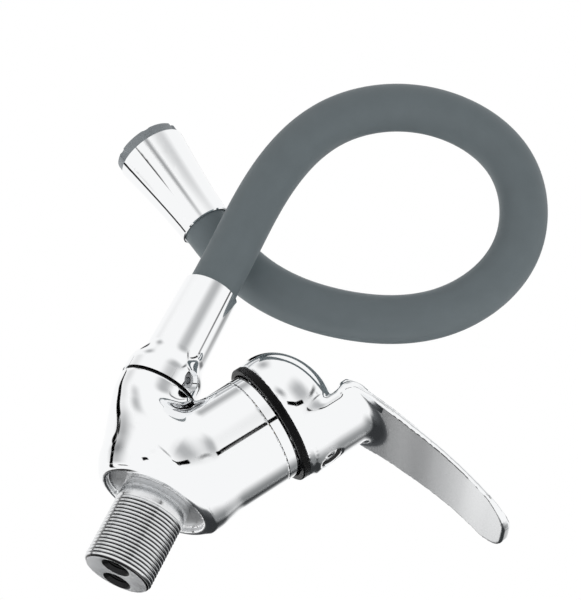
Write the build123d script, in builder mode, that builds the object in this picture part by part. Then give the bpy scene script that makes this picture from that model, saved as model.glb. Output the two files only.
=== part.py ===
from build123d import *
from math import cos, pi, radians, sin
import os

# Single-lever basin mixer with a flexible gooseneck spout, standing on one threaded shank.
# Origin: centre of the foot's face on the shank's axis. +Z up, +X towards the lever.

# Running, seating and free clearances
RUN = 0.05
SEAT = 0.05
FREE = 0.3

# Threaded shank and the two inlets tapped in its end
SHANK_RADIUS = 14.0
SHANK_LENGTH = 32.5
SHANK_CHAMFER = 1.2
SHANK_ROOT_RADIUS = 12.5
SHANK_ROOT_LENGTH = 6.0
INLET_SPACING = 13.5
INLET_TAP_RADIUS = 4.55
INLET_TAP_DEPTH = 15.0
INLET_CHAMFER = 1.3
INLET_WAY_RADIUS = 3.0

# Foot of the body
FOOT_RADIUS = 24.0
FOOT_ROUND = 2.0
FOOT_RECESS_RADIUS = 20.8
FOOT_RECESS_DEPTH = 2.6

# Round sections of the body from the foot up to the rear arm: offset to the rear, height and radius
BODY_SECTIONS = [(0.0, 6.5, 27.2), (0.8, 13.0, 28.3), (6.4, 22.0, 25.0), (14.0, 30.0, 19.7)]

# Socket of the rear arm that carries the spout
SPOUT_OFFSET = 20.0
SOCKET_RADIUS = 15.7
SOCKET_TOP = 43.2
SOCKET_STRAIGHT = 1.2
SOCKET_FLARE = 0.7
SOCKET_FLARE_OFFSET = 1.2
SOCKET_FLARE_LENGTH = 7.2

# Inclined branch that holds the cartridge
BRANCH_ANGLE = 30.0
BRANCH_RADIUS = 22.25
BRANCH_LENGTH = 50.9
BRANCH_FOOT_OFFSET = 2.4
BRANCH_ROOT = 16.0
BRANCH_BLEND = 4.0
NUT_BORE_RADIUS = 20.4
NUT_BORE_DEPTH = 9.0
NUT_END_GAP = 1.0
WAY_RADIUS = 3.0
INLET_PORT = (-2.0, 8.2)
OUTLET_PORT = (-9.0, 0.0)
OUTLET_WELL_DEPTH = 6.5
CHAMBER_BOTTOM = 27.5
CHAMBER_RADIUS = 5.5

# Chrome cover ring and black ring under the lever, levels over the branch's end face
COVER_HEIGHT = 4.4
COVER_OPENING_RADIUS = 12.4
COVER_WALL = 1.6
COVER_EDGE = 0.4
RING_RADIUS = 25.0
RING_THICKNESS = 3.1
RING_BORE_RADIUS = 22.8
RING_SPIGOT_RADIUS = 23.7
RING_SPIGOT_LENGTH = 2.2
RING_EDGE = 0.4

# Cartridge, stacked down from the branch's end face
CARTRIDGE_RADIUS = 17.9
CARTRIDGE_WALL = 1.9
CARTRIDGE_HEAD = 2.5
CARTRIDGE_HEAD_TOP = -1.0
BASE_FLANGE = 2.4
BASE_SPIGOT = 1.4
DISC_THICKNESS = 2.9
DISC_GAP = 0.1
MOVING_DISC_RADIUS = 12.6
CARRIER_HEIGHT = 5.8
CARRIER_TONGUE_WIDTH = 14.0
CARRIER_TONGUE_LENGTH = 21.0
CARRIER_TONGUE_HEIGHT = 2.4
CARRIER_POCKET_DEPTH = 6.8
CARRIER_MOUTH = 0.6
PORT_RADIUS = 2.8
MIX_POCKET_RADIUS = 7.4
MIX_POCKET_DEPTH = 1.6
SEAL_SECTION = 0.8
SEAL_RING_RADIUS = 3.9
SEAL_GROOVE_DEPTH = 1.4
ROTOR_HEIGHT = 10.8
ROTOR_NECK_RADIUS = 9.6
ROTOR_NECK_HEIGHT = 5.3
ROTOR_SLOT_LENGTH = 18.4
NUT_TOP = 2.5
NUT_HEX_RADIUS = 14.0

# Stem, its pin and the motion, levels from the pivot
PIVOT_DEPTH = 2.5
LIFT_ANGLE = 23.0
STEM_SIDE = 8.0
STEM_BOTTOM = 4.0
STEM_TOP = 27.5
STEM_SHAFT_RADIUS = 1.7
STEM_FOOT_RADIUS = 2.8
STEM_ARM = 13.6
PIN_RADIUS = 1.5
PIN_LENGTH = 17.0

# Lever, levels over the black ring: hub, hood, neck and paddle
HUB_RADIUS = 25.4
HUB_RIM = 2.0
HUB_FLARE_MIDDLE = (19.0, 6.1)
HUB_FLARE_TOP = (13.0, 13.0)
HUB_CAVITY_HEIGHT = 0.8
HUB_BOSS_RADIUS = 7.6
HUB_BOSS_BOTTOM = -1.7
COVER_CLEARANCE = 0.45
SOCKET_END_GAP = 0.3
NECK_OFFSET = 14.2
NECK_RADIUS = 12.1
NECK_TOP = 35.0
HOOD_HALF_WIDTH = 11.8
HOOD_PROFILE = [(-25.0, 1.0), (-22.8, 9.0), (-18.6, 17.0), (-12.0, 24.2), (-4.0, 29.6), (5.0, 33.8)]
HOOD_FRONT = 14.0
HOOD_ROUND = 6.0
PADDLE_TOP = [(2.0, 31.8), (10.0, 35.2), (20.0, 38.0), (34.0, 41.0), (53.0, 44.6), (75.0, 47.4), (92.0, 48.6)]
PADDLE_UNDERSIDE = [(92.0, 45.4), (75.0, 43.2), (53.0, 39.4), (34.0, 34.2), (20.0, 29.0), (2.0, 26.0)]
PADDLE_OUTLINE = [(2.0, 10.0), (8.0, 18.0), (17.0, 21.9), (45.0, 20.6), (90.5, 18.6)]
PADDLE_CORNER_RADIUS = 14.0
PADDLE_ROUND = 1.2
PADDLE_BLANK_HEIGHT = 60.0
PLUG_HEIGHT = 9.7
PLUG_RADIUS = 4.3
PLUG_POCKET_RADIUS = 4.9
PLUG_POCKET_DEPTH = 1.0
PLUG_SEAT_DEPTH = 4.6
PLUG_EDGE = 0.5
GRUB_RADIUS = 2.5
GRUB_LENGTH = 8.0
GRUB_SOCKET = 1.4
GRUB_SOCKET_DEPTH = 2.5

# Spout nipple, its seals and the slip washer, levels over the socket's face
NIPPLE_RADIUS = 9.5
NIPPLE_HEIGHT = 17.0
NIPPLE_ROOT_RADIUS = 9.0
NIPPLE_ROOT_LENGTH = 9.0
NIPPLE_BORE_RADIUS = 5.5
NIPPLE_GROOVE_DEPTH = 1.5
NIPPLE_EDGE = 0.6
ORING_SECTION = 0.95
ORING_GROOVE_WIDTH = 2.3
ORING_LEVELS = (12.1, 15.0)
WASHER_THICKNESS = 0.8
WASHER_RADIUS = 14.9

# Spout collar with its trumpet foot, levels over the foot's face
COLLAR_FOOT_RADIUS = 15.8
COLLAR_STRAIGHT = 4.4
COLLAR_CLEARANCE = 0.6
COLLAR_NECK_RADIUS = 12.2
COLLAR_NECK_HEIGHT = 60.0
COLLAR_MOUTH_RADIUS = 11.4
COLLAR_TOP = 92.0
COLLAR_LIP = 0.5
COLLAR_WEB_HEIGHT = 62.0
COLLAR_WEB = 4.0
COLLAR_SCREW_HEIGHT = 48.8
COLLAR_SCREW_ANGLE = -36.0
COLLAR_SCREW_RADIUS = 3.0
COLLAR_SCREW_POCKET_RADIUS = 4.2
COLLAR_SCREW_POCKET_DEPTH = 2.6
COLLAR_SCREW_SOCKET = 3.0
COLLAR_SCREW_SOCKET_DEPTH = 2.2

# Gooseneck hose: silicone sleeve over a flexible core, with an insert in each end
HOSE_RADIUS = 10.0
HOSE_BORE_RADIUS = 6.5
CORE_BORE_RADIUS = 4.4
INSERT_BORE_RADIUS = 3.2
INSERT_LENGTH = 14.0
HOSE_BENDS = [
    # corner of the route and radius of its arc
    ((-SPOUT_OFFSET, 0.0, 170.0), 69.0),
    ((8.4, 4.9, 209.2), 51.0),
    ((51.9, 9.8, 213.6), 39.0),
    ((81.6, 14.7, 189.8), 38.0),
    ((79.4, 18.6, 152.7), 40.0),
    ((62.7, 21.8, 129.3), 49.0),
    ((24.9, 24.1, 113.5), 81.0),
    ((-14.9, 24.0, 113.9), 61.0),
]
HOSE_LAST_RUN = 39.8
OUTLET_ANGLE = 31.0

# Nozzle with its aerator, measured along the outlet from the narrow end
HOSE_INSERTION = 10.0
NOZZLE_LENGTH = 42.0
NOZZLE_NARROW_RADIUS = 11.0
NOZZLE_WIDE_RADIUS = 14.9
NOZZLE_MOUTH_RADIUS = 10.5
NOZZLE_MOUTH_DEPTH = 1.5
NOZZLE_WEB_BORE_RADIUS = 4.5
NOZZLE_TANGENTS = [(0.3, 10.0), (1.2, 10.0)]
NOZZLE_EDGE = 0.4
AERATOR_BORE_RADIUS = 11.3
AERATOR_SEAT = 24.0
AERATOR_SEAL_THICKNESS = 1.8
AERATOR_WALL = 1.5
AERATOR_NOSE_RADIUS = 8.9
AERATOR_NOSE_HEIGHT = 2.4
AERATOR_RINGS = (2.2, 3.9, 5.6, 7.3)
AERATOR_RING_WALL = 0.6
AERATOR_SPOKES = 4
MESH_THICKNESS = 0.5
TIP_RING_RADIUS = 14.3
TIP_RING_THICKNESS = 4.2
TIP_RING_OPENING = 9.0
TIP_RING_SPIGOT_RADIUS = 12.9
TIP_RING_SPIGOT_LENGTH = 4.0
TIP_RING_NOTCHES = 6
TIP_RING_NOTCH_RADIUS = 2.8
TIP_RING_NOTCH_DEPTH = 1.2
TIP_RING_EDGE = 0.5

# Directions of the branch: outwards and down, and up along its axis
branch_up = Vector(sin(radians(BRANCH_ANGLE)), 0, cos(radians(BRANCH_ANGLE)))
branch_out = Vector(cos(radians(BRANCH_ANGLE)), 0, -sin(radians(BRANCH_ANGLE)))
branch_end = Vector(-BRANCH_FOOT_OFFSET, 0, 0) + branch_up * BRANCH_LENGTH
branch_axis = Axis(branch_end, branch_up)
ring_seat = COVER_HEIGHT + RING_THICKNESS


def branch_plane(height):
    """Plane square to the branch, at a height over its end face."""
    return Plane(origin=branch_end + branch_up * height, x_dir=branch_out, z_dir=branch_up)


def lever_plane(height):
    """Plane square to the branch, at a height over the black ring."""
    return branch_plane(ring_seat + height)


def tilted_plane(turn):
    """Plane through the pivot, square to the branch as the lever sees it once lifted by a turn in degrees."""
    tilt = radians(turn)
    return Plane(
        origin=branch_end - branch_up * PIVOT_DEPTH,
        x_dir=branch_out * cos(tilt) - branch_up * sin(tilt),
        z_dir=branch_up * cos(tilt) + branch_out * sin(tilt),
    )


def plug_plane(out):
    """Plane facing forwards at the plug's height, at a distance from the branch's axis."""
    return Plane(
        origin=branch_end + branch_up * (ring_seat + PLUG_HEIGHT) + branch_out * out,
        x_dir=(0, 1, 0),
        z_dir=branch_out,
    )


def branch_point(out, across, height):
    """Point given in the branch's own directions, from its end face."""
    return branch_end + branch_out * out + Vector(0, across, 0) + branch_up * height


def drilling(start, end):
    """Plane at the start of a drilled way, looking along it, and the way's length."""
    way = end - start
    return Plane(origin=start, z_dir=way), way.length


# Upright planes through the branch's axis, with X outwards and Y up the branch
branch_side = Plane(origin=branch_end, x_dir=branch_out, z_dir=(0, -1, 0))
lever_side = Plane(origin=branch_end + branch_up * ring_seat, x_dir=branch_out, z_dir=(0, -1, 0))

# Levels inside the branch, from its end face
head_under = CARTRIDGE_HEAD_TOP - CARTRIDGE_HEAD
rotor_top = head_under - FREE
rotor_bottom = rotor_top - ROTOR_HEIGHT
carrier_top = rotor_bottom - FREE
carrier_bottom = carrier_top - CARRIER_HEIGHT
moving_bottom = carrier_bottom - SEAT - DISC_THICKNESS
fixed_bottom = moving_bottom - DISC_GAP - DISC_THICKNESS
spigot_bottom = fixed_bottom - SEAT - BASE_SPIGOT
base_bottom = spigot_bottom - BASE_FLANGE
cartridge_seat = base_bottom - SEAT
housing_bore = CARTRIDGE_RADIUS - CARTRIDGE_WALL
cartridge_bore = CARTRIDGE_RADIUS + FREE
foot_level = -PIVOT_DEPTH - STEM_ARM
disc_travel = STEM_ARM * sin(radians(LIFT_ANGLE))
disc_offset = -disc_travel / 2
plug_front = NECK_OFFSET + NECK_RADIUS
ports = [(INLET_PORT[0], INLET_PORT[1]), (INLET_PORT[0], -INLET_PORT[1]), OUTLET_PORT]

# Levels of the spout
washer_top = SOCKET_TOP + WASHER_THICKNESS
collar_bottom = washer_top + FREE
collar_taper = (COLLAR_MOUTH_RADIUS - COLLAR_NECK_RADIUS, COLLAR_TOP - COLLAR_NECK_HEIGHT)
hose_start = COLLAR_WEB_HEIGHT + COLLAR_WEB + SEAT
nipple_groove = COLLAR_SCREW_RADIUS + FREE
screw_turn = radians(COLLAR_SCREW_ANGLE)
screw_direction = Vector(cos(screw_turn), sin(screw_turn), 0)
screw_centre = Vector(-SPOUT_OFFSET, 0, COLLAR_SCREW_HEIGHT)
screw_tip = NIPPLE_RADIUS - NIPPLE_GROOVE_DEPTH + FREE
screw_head = COLLAR_FOOT_RADIUS - COLLAR_SCREW_POCKET_DEPTH

# Outlet's direction and planes along it
outlet_way = Vector(-cos(radians(OUTLET_ANGLE)), 0, sin(radians(OUTLET_ANGLE)))
last_corner = Vector(*HOSE_BENDS[-1][0])
hose_end = last_corner + outlet_way * HOSE_LAST_RUN
nozzle_start = hose_end - outlet_way * HOSE_INSERTION
ring_level = NOZZLE_LENGTH + SEAT
aerator_bottom = AERATOR_SEAT + 2 * SEAT + AERATOR_SEAL_THICKNESS
spigot_seat = NOZZLE_LENGTH - TIP_RING_SPIGOT_LENGTH - SEAT


def outlet_plane(height):
    """Plane square to the outlet, at a distance from the nozzle's narrow end."""
    return Plane(origin=nozzle_start + outlet_way * height, x_dir=(0, 1, 0), z_dir=outlet_way)


# Upright plane through the outlet's axis, with X across and Y along it
outlet_across = Vector(0, 1, 0).cross(outlet_way)
outlet_side = Plane(origin=nozzle_start, x_dir=outlet_across, z_dir=outlet_across.cross(outlet_way))
outlet_axis = Axis(nozzle_start, outlet_way)

# Body casting: one smooth form from the foot to the rear arm, blended into the inclined branch
arm_sections = [
    (0, 0, FOOT_RADIUS),
    *BODY_SECTIONS,
    (SPOUT_OFFSET - SOCKET_FLARE_OFFSET, SOCKET_TOP - SOCKET_FLARE_LENGTH, SOCKET_RADIUS + SOCKET_FLARE),
    (SPOUT_OFFSET, SOCKET_TOP - SOCKET_STRAIGHT, SOCKET_RADIUS),
    (SPOUT_OFFSET, SOCKET_TOP + BRANCH_BLEND, SOCKET_RADIUS),
    (SPOUT_OFFSET, SOCKET_TOP + SOCKET_RADIUS, SOCKET_RADIUS),
]
with BuildPart() as body:
    for offset_back, height, radius in arm_sections:
        with BuildSketch(Plane(origin=(-offset_back, 0, height), x_dir=(-1, 0, 0), z_dir=(0, 0, 1))):
            Circle(radius)
    loft()
    with BuildSketch(branch_plane(0)):
        Circle(BRANCH_RADIUS)
    extrude(amount=BRANCH_ROOT - BRANCH_LENGTH)
    joint_edges = body.edges().filter_by(GeomType.BSPLINE).filter_by_position(Axis.Z, FOOT_ROUND, SOCKET_TOP)
    fillet(joint_edges.sort_by(SortBy.LENGTH)[-1], BRANCH_BLEND)
    fillet(body.faces().sort_by(Axis.Z)[0].edges(), FOOT_ROUND)
    # Face of the socket, level with the washer and clear of the collar
    with BuildSketch(Plane.XY.offset(SOCKET_TOP)):
        with Locations((-SPOUT_OFFSET, 0)):
            Circle(SOCKET_RADIUS + BRANCH_RADIUS)
    extrude(amount=BRANCH_LENGTH, mode=Mode.SUBTRACT)
    with BuildSketch(branch_plane(0)):
        Circle(BRANCH_RADIUS)
    extrude(amount=BRANCH_ROOT - BRANCH_LENGTH)
    with BuildSketch(Plane.XY.offset(SOCKET_TOP)):
        with Locations((-SPOUT_OFFSET, 0)):
            Circle(COLLAR_FOOT_RADIUS + COLLAR_CLEARANCE)
    extrude(amount=BRANCH_LENGTH, mode=Mode.SUBTRACT)
    # Recess and shank hole in the foot
    with BuildSketch(Plane.XY):
        Circle(FOOT_RECESS_RADIUS)
    extrude(amount=FOOT_RECESS_DEPTH, mode=Mode.SUBTRACT)
    with BuildSketch(Plane.XY):
        Circle(SHANK_ROOT_RADIUS + SEAT)
    extrude(amount=FOOT_RECESS_DEPTH + SHANK_ROOT_LENGTH + SEAT, mode=Mode.SUBTRACT)
    # Bores for the cover nut and the cartridge
    with BuildSketch(branch_plane(0)):
        Circle(NUT_BORE_RADIUS)
    extrude(amount=-NUT_BORE_DEPTH, mode=Mode.SUBTRACT)
    with BuildSketch(branch_plane(0)):
        Circle(cartridge_bore)
    extrude(amount=cartridge_seat, mode=Mode.SUBTRACT)
    # Water ways to and from the cartridge
    for side in (-1, 1):
        way_plane, way_length = drilling(
            Vector(0, side * INLET_SPACING / 2, FOOT_RECESS_DEPTH + SHANK_ROOT_LENGTH - WAY_RADIUS),
            branch_point(INLET_PORT[0], side * INLET_PORT[1], cartridge_seat + WAY_RADIUS),
        )
        with BuildSketch(way_plane):
            Circle(WAY_RADIUS)
        extrude(amount=way_length, mode=Mode.SUBTRACT)
    with BuildSketch(branch_plane(cartridge_seat)):
        with Locations(OUTLET_PORT):
            Circle(WAY_RADIUS)
    extrude(amount=-OUTLET_WELL_DEPTH - WAY_RADIUS, mode=Mode.SUBTRACT)
    way_plane, way_length = drilling(
        branch_point(OUTLET_PORT[0], OUTLET_PORT[1], cartridge_seat - OUTLET_WELL_DEPTH),
        Vector(-SPOUT_OFFSET, 0, CHAMBER_BOTTOM + WAY_RADIUS),
    )
    with BuildSketch(way_plane):
        Circle(WAY_RADIUS)
    extrude(amount=way_length, mode=Mode.SUBTRACT)
    with BuildSketch(Plane.XY.offset(SOCKET_TOP)):
        with Locations((-SPOUT_OFFSET, 0)):
            Circle(CHAMBER_RADIUS)
    extrude(amount=CHAMBER_BOTTOM - SOCKET_TOP, mode=Mode.SUBTRACT)
    with BuildSketch(Plane.XY.offset(SOCKET_TOP)):
        with Locations((-SPOUT_OFFSET, 0)):
            Circle(NIPPLE_ROOT_RADIUS + SEAT)
    extrude(amount=-NIPPLE_ROOT_LENGTH - SEAT, mode=Mode.SUBTRACT)

# Threaded shank with its root and the two tapped inlets
with BuildPart() as shank:
    with BuildSketch(Plane.XZ):
        with BuildLine():
            Polyline(
                (0, -SHANK_LENGTH),
                (SHANK_RADIUS - SHANK_CHAMFER, -SHANK_LENGTH),
                (SHANK_RADIUS, SHANK_CHAMFER - SHANK_LENGTH),
                (SHANK_RADIUS, FOOT_RECESS_DEPTH - SEAT),
                (SHANK_ROOT_RADIUS, FOOT_RECESS_DEPTH - SEAT),
                (SHANK_ROOT_RADIUS, FOOT_RECESS_DEPTH + SHANK_ROOT_LENGTH),
                (0, FOOT_RECESS_DEPTH + SHANK_ROOT_LENGTH),
                close=True,
            )
        make_face()
    revolve(axis=Axis.Z)
    with BuildSketch(Plane.XY.offset(-SHANK_LENGTH)):
        with Locations((0, INLET_SPACING / 2), (0, -INLET_SPACING / 2)):
            Circle(INLET_TAP_RADIUS)
    extrude(amount=INLET_TAP_DEPTH, mode=Mode.SUBTRACT)
    with BuildSketch(Plane.XY.offset(-SHANK_LENGTH)):
        with Locations((0, INLET_SPACING / 2), (0, -INLET_SPACING / 2)):
            Circle(INLET_TAP_RADIUS + INLET_CHAMFER)
    extrude(amount=INLET_CHAMFER, taper=45, mode=Mode.SUBTRACT)
    with BuildSketch(Plane.XY.offset(-SHANK_LENGTH)):
        with Locations((0, INLET_SPACING / 2), (0, -INLET_SPACING / 2)):
            Circle(INLET_WAY_RADIUS)
    extrude(amount=SHANK_LENGTH + FOOT_RECESS_DEPTH + SHANK_ROOT_LENGTH, mode=Mode.SUBTRACT)

# Cartridge nut, threaded into the branch's mouth
with BuildPart() as cartridge_nut:
    with BuildSketch(branch_plane(NUT_TOP)):
        Circle(NUT_BORE_RADIUS - SEAT)
        RegularPolygon(NUT_HEX_RADIUS, 6, mode=Mode.SUBTRACT)
    extrude(amount=CARTRIDGE_HEAD_TOP + SEAT - NUT_TOP)
    with BuildSketch(branch_plane(CARTRIDGE_HEAD_TOP + SEAT)):
        Circle(NUT_BORE_RADIUS - SEAT)
        Circle(CARTRIDGE_RADIUS + SEAT, mode=Mode.SUBTRACT)
    extrude(amount=NUT_END_GAP - NUT_BORE_DEPTH - CARTRIDGE_HEAD_TOP - SEAT)

# Chrome cover ring over the nut
with BuildPart() as cover_ring:
    with BuildSketch(branch_plane(SEAT)):
        Circle(BRANCH_RADIUS)
    extrude(amount=COVER_HEIGHT - SEAT)
    chamfer(cover_ring.faces().sort_by(branch_axis)[-1].edges(), COVER_EDGE)
    with BuildSketch(branch_plane(0)):
        Circle(NUT_BORE_RADIUS)
    extrude(amount=COVER_HEIGHT - COVER_WALL, mode=Mode.SUBTRACT)
    with BuildSketch(branch_plane(0)):
        Circle(COVER_OPENING_RADIUS)
    extrude(amount=COVER_HEIGHT, mode=Mode.SUBTRACT)

# Cartridge housing, an inverted cup with the stem's opening
with BuildPart() as cartridge_housing:
    with BuildSketch(branch_plane(CARTRIDGE_HEAD_TOP)):
        Circle(CARTRIDGE_RADIUS)
        Circle(ROTOR_NECK_RADIUS + RUN, mode=Mode.SUBTRACT)
    extrude(amount=-CARTRIDGE_HEAD)
    with BuildSketch(branch_plane(head_under)):
        Circle(CARTRIDGE_RADIUS)
        Circle(housing_bore, mode=Mode.SUBTRACT)
    extrude(amount=spigot_bottom + SEAT - head_under)

# Cartridge base with three ports and their seal grooves
with BuildPart() as cartridge_base:
    with BuildSketch(branch_plane(base_bottom)):
        Circle(CARTRIDGE_RADIUS)
    extrude(amount=BASE_FLANGE)
    with BuildSketch(branch_plane(spigot_bottom)):
        Circle(housing_bore - SEAT)
    extrude(amount=BASE_SPIGOT)
    with BuildSketch(branch_plane(base_bottom)):
        with Locations(*ports):
            Circle(PORT_RADIUS)
    extrude(amount=BASE_FLANGE + BASE_SPIGOT, mode=Mode.SUBTRACT)
    with BuildSketch(branch_plane(base_bottom)):
        with Locations(*ports):
            Circle(SEAL_RING_RADIUS + SEAL_SECTION)
    extrude(amount=SEAL_GROOVE_DEPTH, mode=Mode.SUBTRACT)

# Three rubber rings in the base's grooves
with BuildPart() as port_seals:
    with BuildSketch(branch_plane(base_bottom)):
        with Locations(*ports):
            Circle(SEAL_RING_RADIUS + SEAL_SECTION - SEAT)
            Circle(PORT_RADIUS + SEAT, mode=Mode.SUBTRACT)
    extrude(amount=SEAL_GROOVE_DEPTH - SEAT)

# Fixed ceramic disc
with BuildPart() as fixed_disc:
    with BuildSketch(branch_plane(fixed_bottom)):
        Circle(housing_bore - SEAT)
        with Locations(*ports):
            Circle(PORT_RADIUS, mode=Mode.SUBTRACT)
    extrude(amount=DISC_THICKNESS)

# Moving ceramic disc with its mixing pocket underneath
with BuildPart() as moving_disc:
    with BuildSketch(branch_plane(moving_bottom)):
        with Locations((disc_offset, 0)):
            Circle(MOVING_DISC_RADIUS)
    extrude(amount=DISC_THICKNESS)
    with BuildSketch(branch_plane(moving_bottom)):
        with Locations((disc_offset, 0)):
            Circle(MIX_POCKET_RADIUS)
    extrude(amount=MIX_POCKET_DEPTH, mode=Mode.SUBTRACT)

# Carrier of the moving disc, driven by the stem's foot and guided by its tongue
with BuildPart() as disc_carrier:
    with BuildSketch(branch_plane(carrier_bottom)):
        with Locations((disc_offset, 0)):
            Circle(MOVING_DISC_RADIUS)
    extrude(amount=CARRIER_HEIGHT)
    with BuildSketch(branch_plane(carrier_top)):
        with Locations((disc_offset, 0)):
            Rectangle(CARRIER_TONGUE_LENGTH, CARRIER_TONGUE_WIDTH)
    extrude(amount=CARRIER_TONGUE_HEIGHT)
    with BuildSketch(branch_plane(carrier_top + CARRIER_TONGUE_HEIGHT)):
        Circle(STEM_FOOT_RADIUS + FREE)
    extrude(amount=-CARRIER_POCKET_DEPTH, mode=Mode.SUBTRACT)
    with BuildSketch(branch_plane(carrier_top + CARRIER_TONGUE_HEIGHT)):
        Circle(STEM_FOOT_RADIUS + FREE + CARRIER_MOUTH)
    extrude(amount=-CARRIER_TONGUE_HEIGHT, mode=Mode.SUBTRACT)

# Control rotor: a drum with a forked neck for the stem
with BuildPart() as control_rotor:
    with BuildSketch(branch_plane(rotor_bottom)):
        Circle(housing_bore - RUN)
    extrude(amount=ROTOR_HEIGHT)
    with BuildSketch(branch_plane(rotor_top)):
        Circle(ROTOR_NECK_RADIUS)
    extrude(amount=ROTOR_NECK_HEIGHT)
    with BuildSketch(branch_plane(rotor_bottom)):
        Rectangle(ROTOR_SLOT_LENGTH, STEM_SIDE + 2 * FREE)
    extrude(amount=ROTOR_HEIGHT + ROTOR_NECK_HEIGHT, mode=Mode.SUBTRACT)
    with BuildSketch(branch_plane(rotor_bottom)):
        Rectangle(2 * housing_bore, CARRIER_TONGUE_WIDTH + 2 * FREE)
    extrude(amount=CARRIER_TONGUE_HEIGHT, mode=Mode.SUBTRACT)
    with BuildSketch(branch_side.offset(-PIN_LENGTH / 2)):
        with Locations((0, -PIVOT_DEPTH)):
            Circle(PIN_RADIUS + SEAT)
    extrude(amount=PIN_LENGTH, mode=Mode.SUBTRACT)

# Pivot pin across the rotor's neck
with BuildPart() as stem_pin:
    with BuildSketch(branch_side.offset(-PIN_LENGTH / 2)):
        with Locations((0, -PIVOT_DEPTH)):
            Circle(PIN_RADIUS)
    extrude(amount=PIN_LENGTH)

# Stem: square above the pin, round below it, with a ball foot
with BuildPart() as stem:
    with BuildSketch(branch_plane(-PIVOT_DEPTH - STEM_BOTTOM)):
        Rectangle(STEM_SIDE, STEM_SIDE)
    extrude(amount=STEM_BOTTOM + STEM_TOP)
    with BuildSketch(branch_plane(-PIVOT_DEPTH - STEM_BOTTOM)):
        Circle(STEM_SHAFT_RADIUS)
    extrude(amount=STEM_BOTTOM - STEM_ARM)
    with BuildSketch(branch_side):
        with BuildLine():
            Line((0, foot_level - STEM_FOOT_RADIUS), (0, foot_level + STEM_FOOT_RADIUS))
            ThreePointArc(
                (0, foot_level - STEM_FOOT_RADIUS),
                (STEM_FOOT_RADIUS, foot_level),
                (0, foot_level + STEM_FOOT_RADIUS),
            )
        make_face()
    revolve(axis=branch_axis)
    with BuildSketch(branch_side.offset(-STEM_SIDE / 2)):
        with Locations((0, -PIVOT_DEPTH)):
            Circle(PIN_RADIUS + RUN)
    extrude(amount=STEM_SIDE, mode=Mode.SUBTRACT)

# Black ring let into the lever's underside
with BuildPart() as black_ring:
    with BuildSketch(lever_plane(-RING_THICKNESS)):
        Circle(RING_RADIUS)
    extrude(amount=RING_THICKNESS - SEAT)
    chamfer(black_ring.edges().filter_by(GeomType.CIRCLE), RING_EDGE)
    with BuildSketch(lever_plane(-SEAT)):
        Circle(RING_SPIGOT_RADIUS - SEAT)
    extrude(amount=RING_SPIGOT_LENGTH)
    with BuildSketch(lever_plane(-RING_THICKNESS)):
        Circle(RING_BORE_RADIUS)
    extrude(amount=RING_THICKNESS + RING_SPIGOT_LENGTH, mode=Mode.SUBTRACT)

# Paddle blank: the side view's strip cut to the plan's outline
with BuildPart() as paddle:
    with BuildSketch(lever_side):
        with BuildLine():
            top_line = Spline(*PADDLE_TOP)
            under_line = Spline(*PADDLE_UNDERSIDE)
            Line(top_line @ 1, under_line @ 0)
            Line(under_line @ 1, top_line @ 0)
        make_face()
    extrude(amount=HUB_RADIUS, both=True)
    with BuildSketch(lever_plane(0)):
        with BuildLine():
            near_line = Spline(*PADDLE_OUTLINE)
            far_line = Spline(*[(x, -y) for x, y in reversed(PADDLE_OUTLINE)])
            Line(near_line @ 1, far_line @ 0)
            Line(far_line @ 1, near_line @ 0)
        outline = make_face()
        fillet(outline.vertices().group_by(Axis.X)[-1], PADDLE_CORNER_RADIUS)
    extrude(amount=PADDLE_BLANK_HEIGHT, mode=Mode.INTERSECT)
    fillet(paddle.edges().filter_by(GeomType.BSPLINE), PADDLE_ROUND)

# Hood blank: the ridge from the hub's back up to the neck
with BuildPart() as hood:
    with BuildSketch(lever_side):
        with BuildLine():
            back_line = Spline(*HOOD_PROFILE)
            Polyline(
                back_line @ 1,
                (HOOD_FRONT, HOOD_PROFILE[-1][1]),
                (HOOD_FRONT, HOOD_PROFILE[0][1]),
                back_line @ 0,
            )
        make_face()
    extrude(amount=HOOD_HALF_WIDTH, both=True)
    fillet(hood.edges().filter_by(GeomType.BSPLINE), HOOD_ROUND)

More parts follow.
